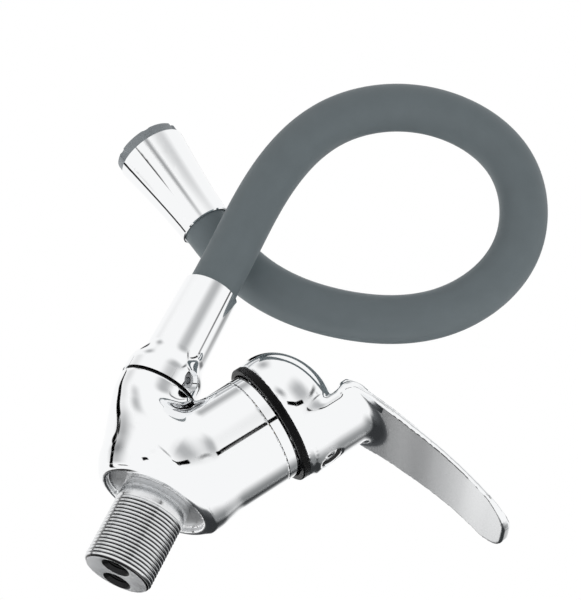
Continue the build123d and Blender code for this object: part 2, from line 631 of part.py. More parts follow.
# Lever: flared hub, hood, neck and paddle in one casting
with BuildPart() as lever:
    with BuildSketch(lever_side):
        with BuildLine():
            Line((0, 0), (HUB_RADIUS, 0))
            Line((HUB_RADIUS, 0), (HUB_RADIUS, HUB_RIM))
            ThreePointArc((HUB_RADIUS, HUB_RIM), HUB_FLARE_MIDDLE, HUB_FLARE_TOP)
            Polyline(HUB_FLARE_TOP, (0, HUB_FLARE_TOP[1]), (0, 0))
        make_face()
    revolve(axis=branch_axis)
    with BuildSketch(lever_plane(HUB_CAVITY_HEIGHT)):
        with Locations((NECK_OFFSET, 0)):
            Circle(NECK_RADIUS)
    extrude(amount=NECK_TOP - HUB_CAVITY_HEIGHT)
    add(hood.part)
    add(paddle.part)
    # Room for the fixed cover, at rest and as the lever lifts
    with BuildSketch(lever_plane(0)):
        Circle(RING_BORE_RADIUS)
    extrude(amount=HUB_CAVITY_HEIGHT, mode=Mode.SUBTRACT)
    with BuildSketch(lever_plane(0)):
        Circle(RING_SPIGOT_RADIUS)
        Circle(RING_BORE_RADIUS - SEAT, mode=Mode.SUBTRACT)
    extrude(amount=RING_SPIGOT_LENGTH, mode=Mode.SUBTRACT)
    for turn in (LIFT_ANGLE / 3, LIFT_ANGLE * 2 / 3, LIFT_ANGLE):
        with BuildSketch(tilted_plane(turn)):
            Circle(BRANCH_RADIUS + COVER_CLEARANCE)
            Circle(COVER_OPENING_RADIUS - COVER_CLEARANCE, mode=Mode.SUBTRACT)
        extrude(amount=COVER_HEIGHT + PIVOT_DEPTH + COVER_CLEARANCE, mode=Mode.SUBTRACT)
    # Boss with the stem's square socket
    with BuildSketch(lever_plane(HUB_BOSS_BOTTOM)):
        Circle(HUB_BOSS_RADIUS)
    extrude(amount=HUB_CAVITY_HEIGHT - HUB_BOSS_BOTTOM)
    with BuildSketch(lever_plane(HUB_BOSS_BOTTOM)):
        Rectangle(STEM_SIDE + 2 * SEAT, STEM_SIDE + 2 * SEAT)
    extrude(amount=STEM_TOP - PIVOT_DEPTH - ring_seat - HUB_BOSS_BOTTOM + SOCKET_END_GAP, mode=Mode.SUBTRACT)
    # Way for the grub screw, with the plug's pocket
    with BuildSketch(plug_plane(0)):
        Circle(GRUB_RADIUS + SEAT)
    extrude(amount=plug_front, mode=Mode.SUBTRACT)
    with BuildSketch(plug_plane(plug_front - PLUG_SEAT_DEPTH)):
        Circle(PLUG_RADIUS + SEAT)
    extrude(amount=PLUG_SEAT_DEPTH, mode=Mode.SUBTRACT)
    with BuildSketch(plug_plane(plug_front - PLUG_POCKET_DEPTH)):
        Circle(PLUG_POCKET_RADIUS)
    extrude(amount=PLUG_POCKET_DEPTH, mode=Mode.SUBTRACT)

# Grub screw that clamps the lever on the stem
with BuildPart() as lever_screw:
    with BuildSketch(plug_plane(STEM_SIDE / 2)):
        Circle(GRUB_RADIUS)
    extrude(amount=GRUB_LENGTH)
    with BuildSketch(plug_plane(STEM_SIDE / 2 + GRUB_LENGTH)):
        RegularPolygon(GRUB_SOCKET, 6)
    extrude(amount=-GRUB_SOCKET_DEPTH, mode=Mode.SUBTRACT)

# Plug over the grub screw
with BuildPart() as lever_plug:
    with BuildSketch(plug_plane(plug_front - PLUG_SEAT_DEPTH + SEAT)):
        Circle(PLUG_RADIUS)
    extrude(amount=PLUG_SEAT_DEPTH - SEAT)
    chamfer(lever_plug.edges().filter_by(GeomType.CIRCLE).sort_by(Axis((0, 0, 0), branch_out))[-1], PLUG_EDGE)

# Nipple screwed into the rear arm, grooved for the seals and the collar's screw
with BuildPart() as nipple:
    with BuildSketch(Plane.XZ.shift_origin((-SPOUT_OFFSET, 0, 0))):
        with BuildLine():
            Polyline(
                (0, SOCKET_TOP - NIPPLE_ROOT_LENGTH),
                (NIPPLE_ROOT_RADIUS, SOCKET_TOP - NIPPLE_ROOT_LENGTH),
                (NIPPLE_ROOT_RADIUS, SOCKET_TOP + SEAT),
                (NIPPLE_RADIUS, SOCKET_TOP + SEAT),
                (NIPPLE_RADIUS, SOCKET_TOP + NIPPLE_HEIGHT - NIPPLE_EDGE),
                (NIPPLE_RADIUS - NIPPLE_EDGE, SOCKET_TOP + NIPPLE_HEIGHT),
                (0, SOCKET_TOP + NIPPLE_HEIGHT),
                close=True,
            )
        make_face()
        with Locations((NIPPLE_RADIUS - NIPPLE_GROOVE_DEPTH / 2, COLLAR_SCREW_HEIGHT)):
            Rectangle(NIPPLE_GROOVE_DEPTH, 2 * nipple_groove, mode=Mode.SUBTRACT)
        with Locations(*[(NIPPLE_RADIUS - ORING_SECTION, SOCKET_TOP + level) for level in ORING_LEVELS]):
            Rectangle(2 * ORING_SECTION, ORING_GROOVE_WIDTH, mode=Mode.SUBTRACT)
    revolve(axis=Axis((-SPOUT_OFFSET, 0, 0), (0, 0, 1)))
    with BuildSketch(Plane.XY.offset(SOCKET_TOP - NIPPLE_ROOT_LENGTH)):
        with Locations((-SPOUT_OFFSET, 0)):
            Circle(NIPPLE_BORE_RADIUS)
    extrude(amount=NIPPLE_ROOT_LENGTH + NIPPLE_HEIGHT, mode=Mode.SUBTRACT)

# Two rubber rings on the nipple
with BuildPart() as nipple_seals:
    with BuildSketch(Plane.XZ.shift_origin((-SPOUT_OFFSET, 0, 0))):
        with Locations(*[(NIPPLE_RADIUS - ORING_SECTION, SOCKET_TOP + level) for level in ORING_LEVELS]):
            Circle(ORING_SECTION)
    revolve(axis=Axis((-SPOUT_OFFSET, 0, 0), (0, 0, 1)))

# Slip washer between the rear arm and the collar
with BuildPart() as slip_washer:
    with BuildSketch(Plane.XY.offset(SOCKET_TOP)):
        with Locations((-SPOUT_OFFSET, 0)):
            Circle(WASHER_RADIUS)
            Circle(NIPPLE_RADIUS + SEAT, mode=Mode.SUBTRACT)
    extrude(amount=WASHER_THICKNESS)

# Collar: trumpet foot over the nipple, tapered tube over the hose's end
with BuildPart() as spout_collar:
    with BuildSketch(Plane.XZ.shift_origin((-SPOUT_OFFSET, 0, 0))):
        with BuildLine():
            Line((0, collar_bottom), (COLLAR_FOOT_RADIUS, collar_bottom))
            Line((COLLAR_FOOT_RADIUS, collar_bottom), (COLLAR_FOOT_RADIUS, collar_bottom + COLLAR_STRAIGHT))
            Spline(
                (COLLAR_FOOT_RADIUS, collar_bottom + COLLAR_STRAIGHT),
                (COLLAR_NECK_RADIUS, COLLAR_NECK_HEIGHT),
                tangents=[(0, 1), collar_taper],
            )
            Polyline(
                (COLLAR_NECK_RADIUS, COLLAR_NECK_HEIGHT),
                (COLLAR_MOUTH_RADIUS, COLLAR_TOP - COLLAR_LIP),
                (COLLAR_MOUTH_RADIUS - COLLAR_LIP, COLLAR_TOP),
                (0, COLLAR_TOP),
                (0, collar_bottom),
            )
        make_face()
    revolve(axis=Axis((-SPOUT_OFFSET, 0, 0), (0, 0, 1)))
    with BuildSketch(Plane.XY.offset(collar_bottom)):
        with Locations((-SPOUT_OFFSET, 0)):
            Circle(NIPPLE_RADIUS + RUN)
    extrude(amount=COLLAR_WEB_HEIGHT - collar_bottom, mode=Mode.SUBTRACT)
    with BuildSketch(Plane.XY.offset(collar_bottom)):
        with Locations((-SPOUT_OFFSET, 0)):
            Circle(CORE_BORE_RADIUS)
    extrude(amount=COLLAR_TOP - collar_bottom, mode=Mode.SUBTRACT)
    with BuildSketch(Plane.XY.offset(COLLAR_TOP)):
        with Locations((-SPOUT_OFFSET, 0)):
            Circle(HOSE_RADIUS + SEAT)
    extrude(amount=COLLAR_WEB_HEIGHT + COLLAR_WEB - COLLAR_TOP, mode=Mode.SUBTRACT)
    with BuildSketch(Plane(origin=screw_centre, z_dir=screw_direction)):
        Circle(COLLAR_SCREW_RADIUS + SEAT)
    extrude(amount=COLLAR_FOOT_RADIUS, mode=Mode.SUBTRACT)
    with BuildSketch(Plane(origin=screw_centre + screw_direction * screw_head, z_dir=screw_direction)):
        Circle(COLLAR_SCREW_POCKET_RADIUS)
    extrude(amount=COLLAR_SCREW_POCKET_DEPTH, mode=Mode.SUBTRACT)

# Grub screw that keeps the collar on the nipple
with BuildPart() as collar_screw:
    with BuildSketch(Plane(origin=screw_centre + screw_direction * screw_tip, z_dir=screw_direction)):
        Circle(COLLAR_SCREW_RADIUS)
    extrude(amount=screw_head - screw_tip)
    with BuildSketch(Plane(origin=screw_centre + screw_direction * screw_head, z_dir=screw_direction)):
        RegularPolygon(COLLAR_SCREW_SOCKET / 2, 6, major_radius=False)
    extrude(amount=-COLLAR_SCREW_SOCKET_DEPTH, mode=Mode.SUBTRACT)

# Silicone sleeve of the hose: straight runs joined by tangent arcs
with BuildPart() as hose_sleeve:
    with BuildLine() as route:
        FilletPolyline(
            (-SPOUT_OFFSET, 0, hose_start),
            *[corner for corner, radius in HOSE_BENDS],
            tuple(hose_end),
            radius=[radius for corner, radius in HOSE_BENDS],
        )
    with BuildSketch(Plane.XY.offset(hose_start)):
        with Locations((-SPOUT_OFFSET, 0)):
            Circle(HOSE_RADIUS)
            Circle(HOSE_BORE_RADIUS, mode=Mode.SUBTRACT)
    sweep(path=route.line)

# Flexible core inside the sleeve, which holds the shape it is bent to
with BuildPart() as hose_core:
    with BuildLine() as core_route:
        add(route.line)
    with BuildSketch(Plane.XY.offset(hose_start)):
        with Locations((-SPOUT_OFFSET, 0)):
            Circle(HOSE_BORE_RADIUS - SEAT)
            Circle(CORE_BORE_RADIUS, mode=Mode.SUBTRACT)
    sweep(path=core_route.line)

# Ribbed inserts that spread the core in its two ends
with BuildPart() as lower_insert:
    with BuildSketch(Plane.XY.offset(hose_start)):
        with Locations((-SPOUT_OFFSET, 0)):
            Circle(CORE_BORE_RADIUS - SEAT)
            Circle(INSERT_BORE_RADIUS, mode=Mode.SUBTRACT)
    extrude(amount=INSERT_LENGTH)
with BuildPart() as upper_insert:
    with BuildSketch(outlet_plane(HOSE_INSERTION)):
        Circle(CORE_BORE_RADIUS - SEAT)
        Circle(INSERT_BORE_RADIUS, mode=Mode.SUBTRACT)
    extrude(amount=-INSERT_LENGTH)

# Nozzle shell: a trumpet around the hose's end and the aerator
with BuildPart() as nozzle:
    with BuildSketch(outlet_side):
        with BuildLine():
            Line((0, 0), (NOZZLE_NARROW_RADIUS - NOZZLE_EDGE, 0))
            Line((NOZZLE_NARROW_RADIUS - NOZZLE_EDGE, 0), (NOZZLE_NARROW_RADIUS, NOZZLE_EDGE))
            Spline(
                (NOZZLE_NARROW_RADIUS, NOZZLE_EDGE),
                (NOZZLE_WIDE_RADIUS, NOZZLE_LENGTH - NOZZLE_EDGE),
                tangents=NOZZLE_TANGENTS,
            )
            Line(
                (NOZZLE_WIDE_RADIUS, NOZZLE_LENGTH - NOZZLE_EDGE),
                (NOZZLE_WIDE_RADIUS - NOZZLE_EDGE, NOZZLE_LENGTH),
            )
            Polyline((NOZZLE_WIDE_RADIUS - NOZZLE_EDGE, NOZZLE_LENGTH), (0, NOZZLE_LENGTH), (0, 0))
        make_face()
    revolve(axis=outlet_axis)
    for start, depth, radius in (
        (0, NOZZLE_MOUTH_DEPTH, NOZZLE_MOUTH_RADIUS),
        (0, HOSE_INSERTION + SEAT, HOSE_RADIUS + SEAT),
        (0, NOZZLE_LENGTH, NOZZLE_WEB_BORE_RADIUS),
        (AERATOR_SEAT, NOZZLE_LENGTH - AERATOR_SEAT, AERATOR_BORE_RADIUS),
        (spigot_seat, NOZZLE_LENGTH - spigot_seat, TIP_RING_SPIGOT_RADIUS + SEAT),
    ):
        with BuildSketch(outlet_plane(start)):
            Circle(radius)
        extrude(amount=depth, mode=Mode.SUBTRACT)

# Flat seal under the aerator
with BuildPart() as aerator_seal:
    with BuildSketch(outlet_plane(AERATOR_SEAT + SEAT)):
        Circle(AERATOR_BORE_RADIUS - SEAT)
        Circle(NOZZLE_WEB_BORE_RADIUS, mode=Mode.SUBTRACT)
    extrude(amount=AERATOR_SEAL_THICKNESS)

# Aerator body with the spoked rings of its outlet
with BuildPart() as aerator:
    with BuildSketch(outlet_plane(aerator_bottom)):
        Circle(AERATOR_BORE_RADIUS - SEAT)
    extrude(amount=NOZZLE_LENGTH - aerator_bottom)
    with BuildSketch(outlet_plane(NOZZLE_LENGTH)):
        Circle(AERATOR_NOSE_RADIUS)
    extrude(amount=AERATOR_NOSE_HEIGHT)
    with BuildSketch(outlet_plane(aerator_bottom)):
        Circle(AERATOR_NOSE_RADIUS - AERATOR_WALL)
    extrude(amount=NOZZLE_LENGTH + AERATOR_NOSE_HEIGHT - aerator_bottom, mode=Mode.SUBTRACT)
    with BuildSketch(outlet_plane(NOZZLE_LENGTH)):
        for ring in AERATOR_RINGS:
            Circle(ring)
            Circle(ring - AERATOR_RING_WALL, mode=Mode.SUBTRACT)
        with PolarLocations(0, AERATOR_SPOKES):
            Rectangle(AERATOR_NOSE_RADIUS, AERATOR_RING_WALL, align=(Align.MIN, Align.CENTER))
    extrude(amount=AERATOR_NOSE_HEIGHT)

# Wire mesh behind the aerator's rings
with BuildPart() as aerator_mesh:
    with BuildSketch(outlet_plane(NOZZLE_LENGTH - SEAT)):
        Circle(AERATOR_NOSE_RADIUS - AERATOR_WALL - SEAT)
    extrude(amount=-MESH_THICKNESS)

# Notched ring that holds the aerator in the nozzle
with BuildPart() as tip_ring:
    with BuildSketch(outlet_plane(ring_level)):
        Circle(TIP_RING_RADIUS)
    extrude(amount=TIP_RING_THICKNESS)
    chamfer(tip_ring.faces().sort_by(outlet_axis)[-1].edges(), TIP_RING_EDGE)
    with BuildSketch(outlet_plane(ring_level)):
        with PolarLocations(TIP_RING_RADIUS + TIP_RING_NOTCH_RADIUS - TIP_RING_NOTCH_DEPTH, TIP_RING_NOTCHES):
            Circle(TIP_RING_NOTCH_RADIUS)
    extrude(amount=TIP_RING_THICKNESS, mode=Mode.SUBTRACT)
    with BuildSketch(outlet_plane(ring_level)):
        Circle(TIP_RING_SPIGOT_RADIUS)
    extrude(amount=-TIP_RING_SPIGOT_LENGTH)
    with BuildSketch(outlet_plane(ring_level)):
        Circle(AERATOR_BORE_RADIUS + SEAT)
    extrude(amount=-TIP_RING_SPIGOT_LENGTH, mode=Mode.SUBTRACT)
    with BuildSketch(outlet_plane(ring_level)):
        Circle(TIP_RING_OPENING)
    extrude(amount=TIP_RING_THICKNESS, mode=Mode.SUBTRACT)

pieces = {
    "body": body,
    "shank": shank,
    "cartridge_nut": cartridge_nut,
    "cover_ring": cover_ring,
    "cartridge_housing": cartridge_housing,
    "cartridge_base": cartridge_base,
    "port_seals": port_seals,
    "fixed_disc": fixed_disc,
    "moving_disc": moving_disc,
    "disc_carrier": disc_carrier,
    "control_rotor": control_rotor,
    "stem_pin": stem_pin,
    "stem": stem,
    "black_ring": black_ring,
    "lever": lever,
    "lever_screw": lever_screw,
    "lever_plug": lever_plug,
    "nipple": nipple,
    "nipple_seals": nipple_seals,
    "slip_washer": slip_washer,
    "spout_collar": spout_collar,
    "collar_screw": collar_screw,
    "hose_sleeve": hose_sleeve,
    "hose_core": hose_core,
    "lower_insert": lower_insert,
    "upper_insert": upper_insert,
    "nozzle": nozzle,
    "aerator_seal": aerator_seal,
    "aerator": aerator,
    "aerator_mesh": aerator_mesh,
    "tip_ring": tip_ring,
}

# Write one file for each piece
os.makedirs("parts", exist_ok=True)
for name, piece in pieces.items():
    piece.part.label = name
    export_step(piece.part, f"parts/{name}.step")

# Compare the hose's volume with its section times its length
route_length = sum(edge.length for edge in route.line.edges())
hose_section = pi * (HOSE_RADIUS**2 - HOSE_BORE_RADIUS**2)
print("hose length", round(route_length, 1), "arc radii", [radius for corner, radius in HOSE_BENDS])
section_volume = round(hose_section * route_length)
print("hose volume", round(hose_sleeve.part.volume), "section times length", section_volume)
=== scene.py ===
"""Dresses the mixer tap: smooth surfaces, real finishes, a plain studio and the photograph's camera."""

import logging
from dataclasses import dataclass, field
from enum import Enum
from math import cos, pi, radians, sin, tan
from typing import Callable, Optional, Sequence

import bpy
import numpy as np
from mathutils import Matrix, Vector
from mathutils.geometry import delaunay_2d_cdt


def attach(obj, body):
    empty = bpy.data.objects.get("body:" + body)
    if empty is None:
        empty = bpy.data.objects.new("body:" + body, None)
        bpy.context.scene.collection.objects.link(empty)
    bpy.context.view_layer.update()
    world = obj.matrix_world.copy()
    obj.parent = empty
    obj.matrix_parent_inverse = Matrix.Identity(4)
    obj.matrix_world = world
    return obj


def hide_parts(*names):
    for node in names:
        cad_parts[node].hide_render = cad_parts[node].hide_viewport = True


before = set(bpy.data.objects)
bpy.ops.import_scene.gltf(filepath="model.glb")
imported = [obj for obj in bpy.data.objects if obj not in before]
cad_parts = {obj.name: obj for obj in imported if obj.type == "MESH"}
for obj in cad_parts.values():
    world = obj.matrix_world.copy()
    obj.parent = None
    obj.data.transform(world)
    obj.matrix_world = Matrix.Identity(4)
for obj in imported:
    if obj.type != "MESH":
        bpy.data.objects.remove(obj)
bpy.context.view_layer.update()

LOG = logging.getLogger("tap")
MM = 0.001


class Body(Enum):
    """Rigid bodies of the tap that the finer pieces ride on, as the frame names them."""

    TAP = "tap"
    SPOUT = "spout"
    LEVER = "lever"


# Colours and materials

# Sockets of a Mix node that multiplies colours, which are known by their numbers
MIX_FACTOR, MIX_FIRST, MIX_SECOND, MIX_RESULT = 0, 6, 7, 2


def linear(code: str) -> tuple[float, float, float, float]:
    """Turns an sRGB hex colour into Blender's linear values, by the sRGB standard's own formula.

    Args:
        code: six hex digits, as on a colour card.

    Returns:
        Red, green, blue and alpha from 0 to 1.
    """
    values = [int(code[i:i + 2], 16) / 255 for i in (0, 2, 4)]
    return (*[v / 12.92 if v <= 0.04045 else ((v + 0.055) / 1.055) ** 2.4 for v in values], 1.0)


def empty_tree(owner: bpy.types.ID) -> bpy.types.NodeTree:
    """Switches on the nodes of a material or a world and takes out those that it starts with.

    Args:
        owner: the material or the world.

    Returns:
        Its node tree, empty.
    """
    owner.use_nodes = True
    owner.node_tree.nodes.clear()
    return owner.node_tree


def add_node(tree: bpy.types.NodeTree, kind: str, settings: Optional[dict] = None,
             values: Optional[dict] = None, links: Optional[dict] = None) -> bpy.types.Node:
    """Adds one node with its settings, socket values and incoming links.

    Args:
        tree: the node tree that gets the node.
        kind: the node's type name.
        settings: properties of the node itself.
        values: input sockets, by name or number, and the values they hold.
        links: input sockets, by name or number, and the output sockets that feed them.

    Returns:
        The new node.
    """
    node = tree.nodes.new(kind)
    for key, value in (settings or {}).items():
        setattr(node, key, value)
    for key, value in (values or {}).items():
        node.inputs[key].default_value = value
    for key, socket in (links or {}).items():
        tree.links.new(socket, node.inputs[key])
    return node


@dataclass(frozen=True)
class Finish:
    """A finish of one real material: its gloss, its colour and the fine relief of its surface.

    The relief is a height, with grains of a size. Mottle is how far the colour varies, in soft patches of
    about 8 mm. Smear is how much duller the gloss is where a film lies, in patches of about 17 mm. The
    painted groove shade is the radii of a thread's root and crest about the Z axis, between which the colour
    rises from
    dark to full: painted shade in the roots. The painted root light is the colour's share at the root.
    """

    name: str
    colour: str
    metallic: float = 0.0
    roughness: float = 0.5
    ior: float = 1.5
    coat: float = 0.0
    relief_mm: float = 0.0
    grain_mm: float = 1.0
    mottle: float = 0.0
    mottle_per_mm: float = 0.12
    smear: float = 0.0
    smear_per_mm: float = 0.06
    painted_groove_shade: tuple = ()
    painted_root_light: float = 0.02

    def make(self) -> bpy.types.Material:
        """Builds the material's nodes, or finds the material made before.

        Returns:
            The material.
        """
        made = bpy.data.materials.get(self.name)
        if made:
            return made
        material = bpy.data.materials.new(self.name)
        tree = empty_tree(material)
        shader = add_node(tree, "ShaderNodeBsdfPrincipled", values={
            "Base Color": linear(self.colour), "Metallic": self.metallic, "Roughness": self.roughness,
            "IOR": self.ior, "Coat Weight": self.coat})
        add_node(tree, "ShaderNodeOutputMaterial", links={"Surface": shader.outputs["BSDF"]})
        place = add_node(tree, "ShaderNodeTexCoord").outputs["Object"]
        shade = self.shade(tree, place)
        if shade:
            tint = add_node(tree, "ShaderNodeMix", {"data_type": "RGBA", "blend_type": "MULTIPLY"},
                            {MIX_FACTOR: 1.0, MIX_FIRST: linear(self.colour)}, {MIX_SECOND: shade})
            tree.links.new(tint.outputs[MIX_RESULT], shader.inputs["Base Color"])
        if self.smear:
            film = add_node(tree, "ShaderNodeTexNoise", values={
                "Scale": self.smear_per_mm / MM, "Detail": 4.0}, links={"Vector": place})
            gloss = add_node(tree, "ShaderNodeMapRange", values={
                "From Min": 0.35, "From Max": 0.75, "To Min": self.roughness,
                "To Max": self.roughness + self.smear}, links={"Value": film.outputs["Fac"]})
            tree.links.new(gloss.outputs["Result"], shader.inputs["Roughness"])
        if self.relief_mm:
            grain = add_node(tree, "ShaderNodeTexNoise", values={
                "Scale": 1 / (self.grain_mm * MM), "Detail": 2.0}, links={"Vector": place})
            bump = add_node(tree, "ShaderNodeBump", values={
                "Strength": 1.0, "Distance": self.relief_mm * MM}, links={"Height": grain.outputs["Fac"]})
            tree.links.new(bump.outputs["Normal"], shader.inputs["Normal"])
        return material

    def shade(self, tree: bpy.types.NodeTree, place: bpy.types.NodeSocket) -> Optional[bpy.types.NodeSocket]:
        """Adds the nodes that make the colour lighter or darker from place to place: random patches of tone,
        or painted shade that darkens a thread's roots.

        Args:
            tree: the material's node tree.
            place: the output socket that gives the place.

        Returns:
            The output socket to multiply the colour by, or None where the colour is even.
        """
        if self.mottle:
            cloud = add_node(tree, "ShaderNodeTexNoise", values={
                "Scale": self.mottle_per_mm / MM, "Detail": 3.0}, links={"Vector": place})
            source = cloud.outputs["Fac"]
            spread = {"From Min": 0.3, "From Max": 0.7, "To Min": 1 - self.mottle, "To Max": 1 + self.mottle}
        # Painted shade: the colour darkens from the thread's crest radius to its root radius
        elif self.painted_groove_shade:
            root, crest = (radius * MM for radius in self.painted_groove_shade)
            flat = add_node(tree, "ShaderNodeVectorMath", {"operation": "MULTIPLY"},
                            {1: (1, 1, 0)}, {0: place}).outputs[0]
            reach = add_node(tree, "ShaderNodeVectorMath", {"operation": "LENGTH"}, links={0: flat})
            source = reach.outputs["Value"]
            spread = {"From Min": root, "From Max": crest, "To Min": self.painted_root_light, "To Max": 1.0}
        else:
            return None
        return add_node(tree, "ShaderNodeMapRange", values=spread, links={"Value": source}).outputs["Result"]


# Chrome plate over polished brass or zinc: a clear mirror with a trace of film
CHROME = Finish("polished_chrome_plate", "f6f7f8", metallic=1.0, roughness=0.03, smear=0.03)
# Nickel-plated cut thread: a little duller than the polished castings, with painted shade that darkens its
# narrow roots nearly to black
PLATED_THREAD = Finish("plated_cut_thread", "e4e5e6", metallic=1.0, roughness=0.14, smear=0.06,
                       painted_groove_shade=(13.2, 13.55))
# The shank's faced end: light and satin, more scattering than mirror, so that it looks evenly lit
FACED_END = Finish("faced_shank_end", "eff0f1", metallic=0.4, roughness=0.5, smear=0.1)
# Drilled and tapped water way: its dark colour is painted shade, for the little light that comes back
# out of it
WATER_WAY_PAINTED_SHADE = Finish("drilled_water_way_painted_shade", "2b2b2c", metallic=1.0, roughness=0.35, smear=0.1)
# Face-turned floor of the foot: satin, a step duller than the casting round it
TURNED_FLOOR = Finish("turned_foot_floor", "d9dadb", metallic=1.0, roughness=0.34, smear=0.08)
# Turned brass: yellow and softly shining, seen only where the tap is taken apart
BRASS = Finish("turned_brass", "c9a75c", metallic=1.0, roughness=0.25, smear=0.1)
# Machined stainless steel: grey, with a soft shine
STEEL = Finish("machined_stainless_steel", "b9bbbd", metallic=1.0, roughness=0.3, smear=0.08)
# Woven wire screen behind the aerator's rings: grey wire, darkened with painted shade for the holes that
# make up most of it
WIRE_SCREEN_PAINTED_SHADE = Finish("woven_wire_screen_painted_shade", "4b4c4e", metallic=1.0, roughness=0.5, relief_mm=0.1, grain_mm=0.3)
# Extruded silicone: silky and slightly waxy, with a matt grain drawn as coarse as it needs to show
SILICONE = Finish("extruded_grey_silicone", "727c80", roughness=0.5, ior=1.41, relief_mm=0.02,
                  grain_mm=0.8, mottle=0.03)
# Moulded ABS, spark-eroded grey: a dry matt skin
GREY_ABS = Finish("moulded_grey_abs", "90969a", roughness=0.42, relief_mm=0.015, grain_mm=0.5, mottle=0.03)
# Moulded ABS, black: deep, with weak highlights
BLACK_ABS = Finish("moulded_black_abs", "040405", roughness=0.35, ior=1.2)
# Moulded acetal of the cartridge: milky and smooth
ACETAL = Finish("moulded_white_acetal", "d9dadb", roughness=0.4, mottle=0.02)
# Ground alumina ceramic: ivory, with a thin hard gloss
CERAMIC = Finish("ground_alumina_ceramic", "eae7de", roughness=0.2, coat=0.3)
# Moulded EPDM_AND_PAINTED_SHADE rubber of the seals: black and matt, with a fine grain. The plug's dark faces
# wear it as painted shade
EPDM_AND_PAINTED_SHADE = Finish("moulded_epdm_rubber_and_painted_shade", "1d1d1e", roughness=0.6, relief_mm=0.01, grain_mm=0.3)


# Mesh tools


def mesh_object(name: str, points: np.ndarray, faces: list, finish: Finish, body: Body,
                replaces: Sequence[str] = ()) -> bpy.types.Object:
    """Makes a smooth-shaded object from points in millimetres and dresses it.

    Args:
        name: the piece's name.
        points: vertices, one row each, in the frame in millimetres.
        faces: vertex numbers of each face.
        finish: the material.
        body: the body that it rides on.
        replaces: CAD nodes that it stands for.

    Returns:
        The object, riding on its body.
    """
    mesh = bpy.data.meshes.new(name)
    mesh.from_pydata((np.asarray(points, float) * MM).tolist(), [], faces)
    mesh.validate()
    mesh.polygons.foreach_set("use_smooth", np.ones(len(mesh.polygons), bool))
    mesh.materials.append(finish.make())
    piece = bpy.data.objects.new(name, mesh)
    bpy.context.scene.collection.objects.link(piece)
    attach(piece, body.value)
    if replaces:
        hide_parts(*replaces)
    LOG.info("%s: %d faces", name, len(mesh.polygons))
    return piece


def add_finishes(piece: bpy.types.Object, finishes: Sequence[Finish], marks: np.ndarray) -> None:
    """Gives some faces of a piece another finish than its first.

    Args:
        piece: the piece.
        finishes: the other finishes.
        marks: for each face 0 for the first finish, 1 for the first of the others, and so on.
    """
    for finish in finishes:
        piece.data.materials.append(finish.make())
    piece.data.polygons.foreach_set("material_index", marks.astype(np.int32))


def ring_faces(rings: int, around: int) -> list:
    """Faces between closed rings of points that are numbered ring by ring.

    Args:
        rings: how many rings there are.
        around: points in each ring.

    Returns:
        Four vertex numbers for each face.
    """
    i, j = np.meshgrid(np.arange(rings - 1), np.arange(around), indexing="ij")
    a = i * around + j
    b = i * around + (j + 1) % around
    return np.stack([a, b, b + around, a + around], -1).reshape(-1, 4).tolist()


def soft_minimum(a: np.ndarray, b: np.ndarray, width: float) -> np.ndarray:
    """Smaller of two distances, rounded off with a parabola where they differ by less than a width.

    Args:
        a: first distances.
        b: second distances.
        width: how far the rounding reaches, in millimetres.

    Returns:
        The distances to both forms flowed together.
    """
    near = np.clip(width - np.abs(a - b), 0, None) / width
    return np.minimum(a, b) - near**2 * width / 4


def rounded_meet(a: np.ndarray, b: np.ndarray, radius: float) -> np.ndarray:
    """Distance to what two forms share, with the edge between them rounded.

    Both forms are drawn in by the radius. Past both, the distance is that from their shared corner, and else
    the larger of the two. The radius is then given back.

    Args:
        a: distances to the first form.
        b: distances to the second form.
        radius: the edge's radius in millimetres.

    Returns:
        The distances to the shared form.
    """
    a, b = a + radius, b + radius
    return np.hypot(np.maximum(a, 0), np.maximum(b, 0)) + np.minimum(np.maximum(a, b), 0) - radius


def table_curve(rows: tuple, column: int, at: np.ndarray) -> np.ndarray:
    """Values read from a table by a smooth cubic through its rows.

    Args:
        rows: the table, with the place of each row first.
        column: which value of each row to read.
        at: the places to read it at.

    Returns:
        The values, which past the table's ends are those of its end rows.
    """
    table = np.array(rows)
    x, y = table[:, 0], table[:, column]
    slope = np.gradient(y, x)
    k = np.clip(np.searchsorted(x, at) - 1, 0, len(x) - 2)
    gap = x[k + 1] - x[k]
    t = np.clip((at - x[k]) / gap, 0, 1)
    return ((2 * t**3 - 3 * t**2 + 1) * y[k] + (t**3 - 2 * t**2 + t) * gap * slope[k]
            + (3 * t**2 - 2 * t**3) * y[k + 1] + (t**3 - t**2) * gap * slope[k + 1])


def settle(value: Callable[[np.ndarray], np.ndarray], points: np.ndarray, step: float) -> np.ndarray:
    """Moves points onto the surface where a field is zero, along the field's slope.

    Each move is the field's value over its slope, as in Newton's method, and at most a share of a cell long.

    Args:
        value: the field, for an array of points.
        points: points near the surface.
        step: side of a cell, in millimetres.

    Returns:
        The moved points.
    """
    moves, furthest, apart = 4, 0.4 * step, 0.05 * step
    least_slope, least_size = 0.05, 1e-9
    for _ in range(moves):
        rises = [value(points + e) - value(points - e) for e in np.eye(3) * apart]
        slope = np.stack(rises, -1) / (2 * apart)
        push = value(points)[:, None] * slope / np.maximum((slope**2).sum(1, keepdims=True), least_slope)
        size = np.linalg.norm(push, axis=1, keepdims=True)
        points = points - push * np.minimum(1, furthest / np.maximum(size, least_size))
    return points


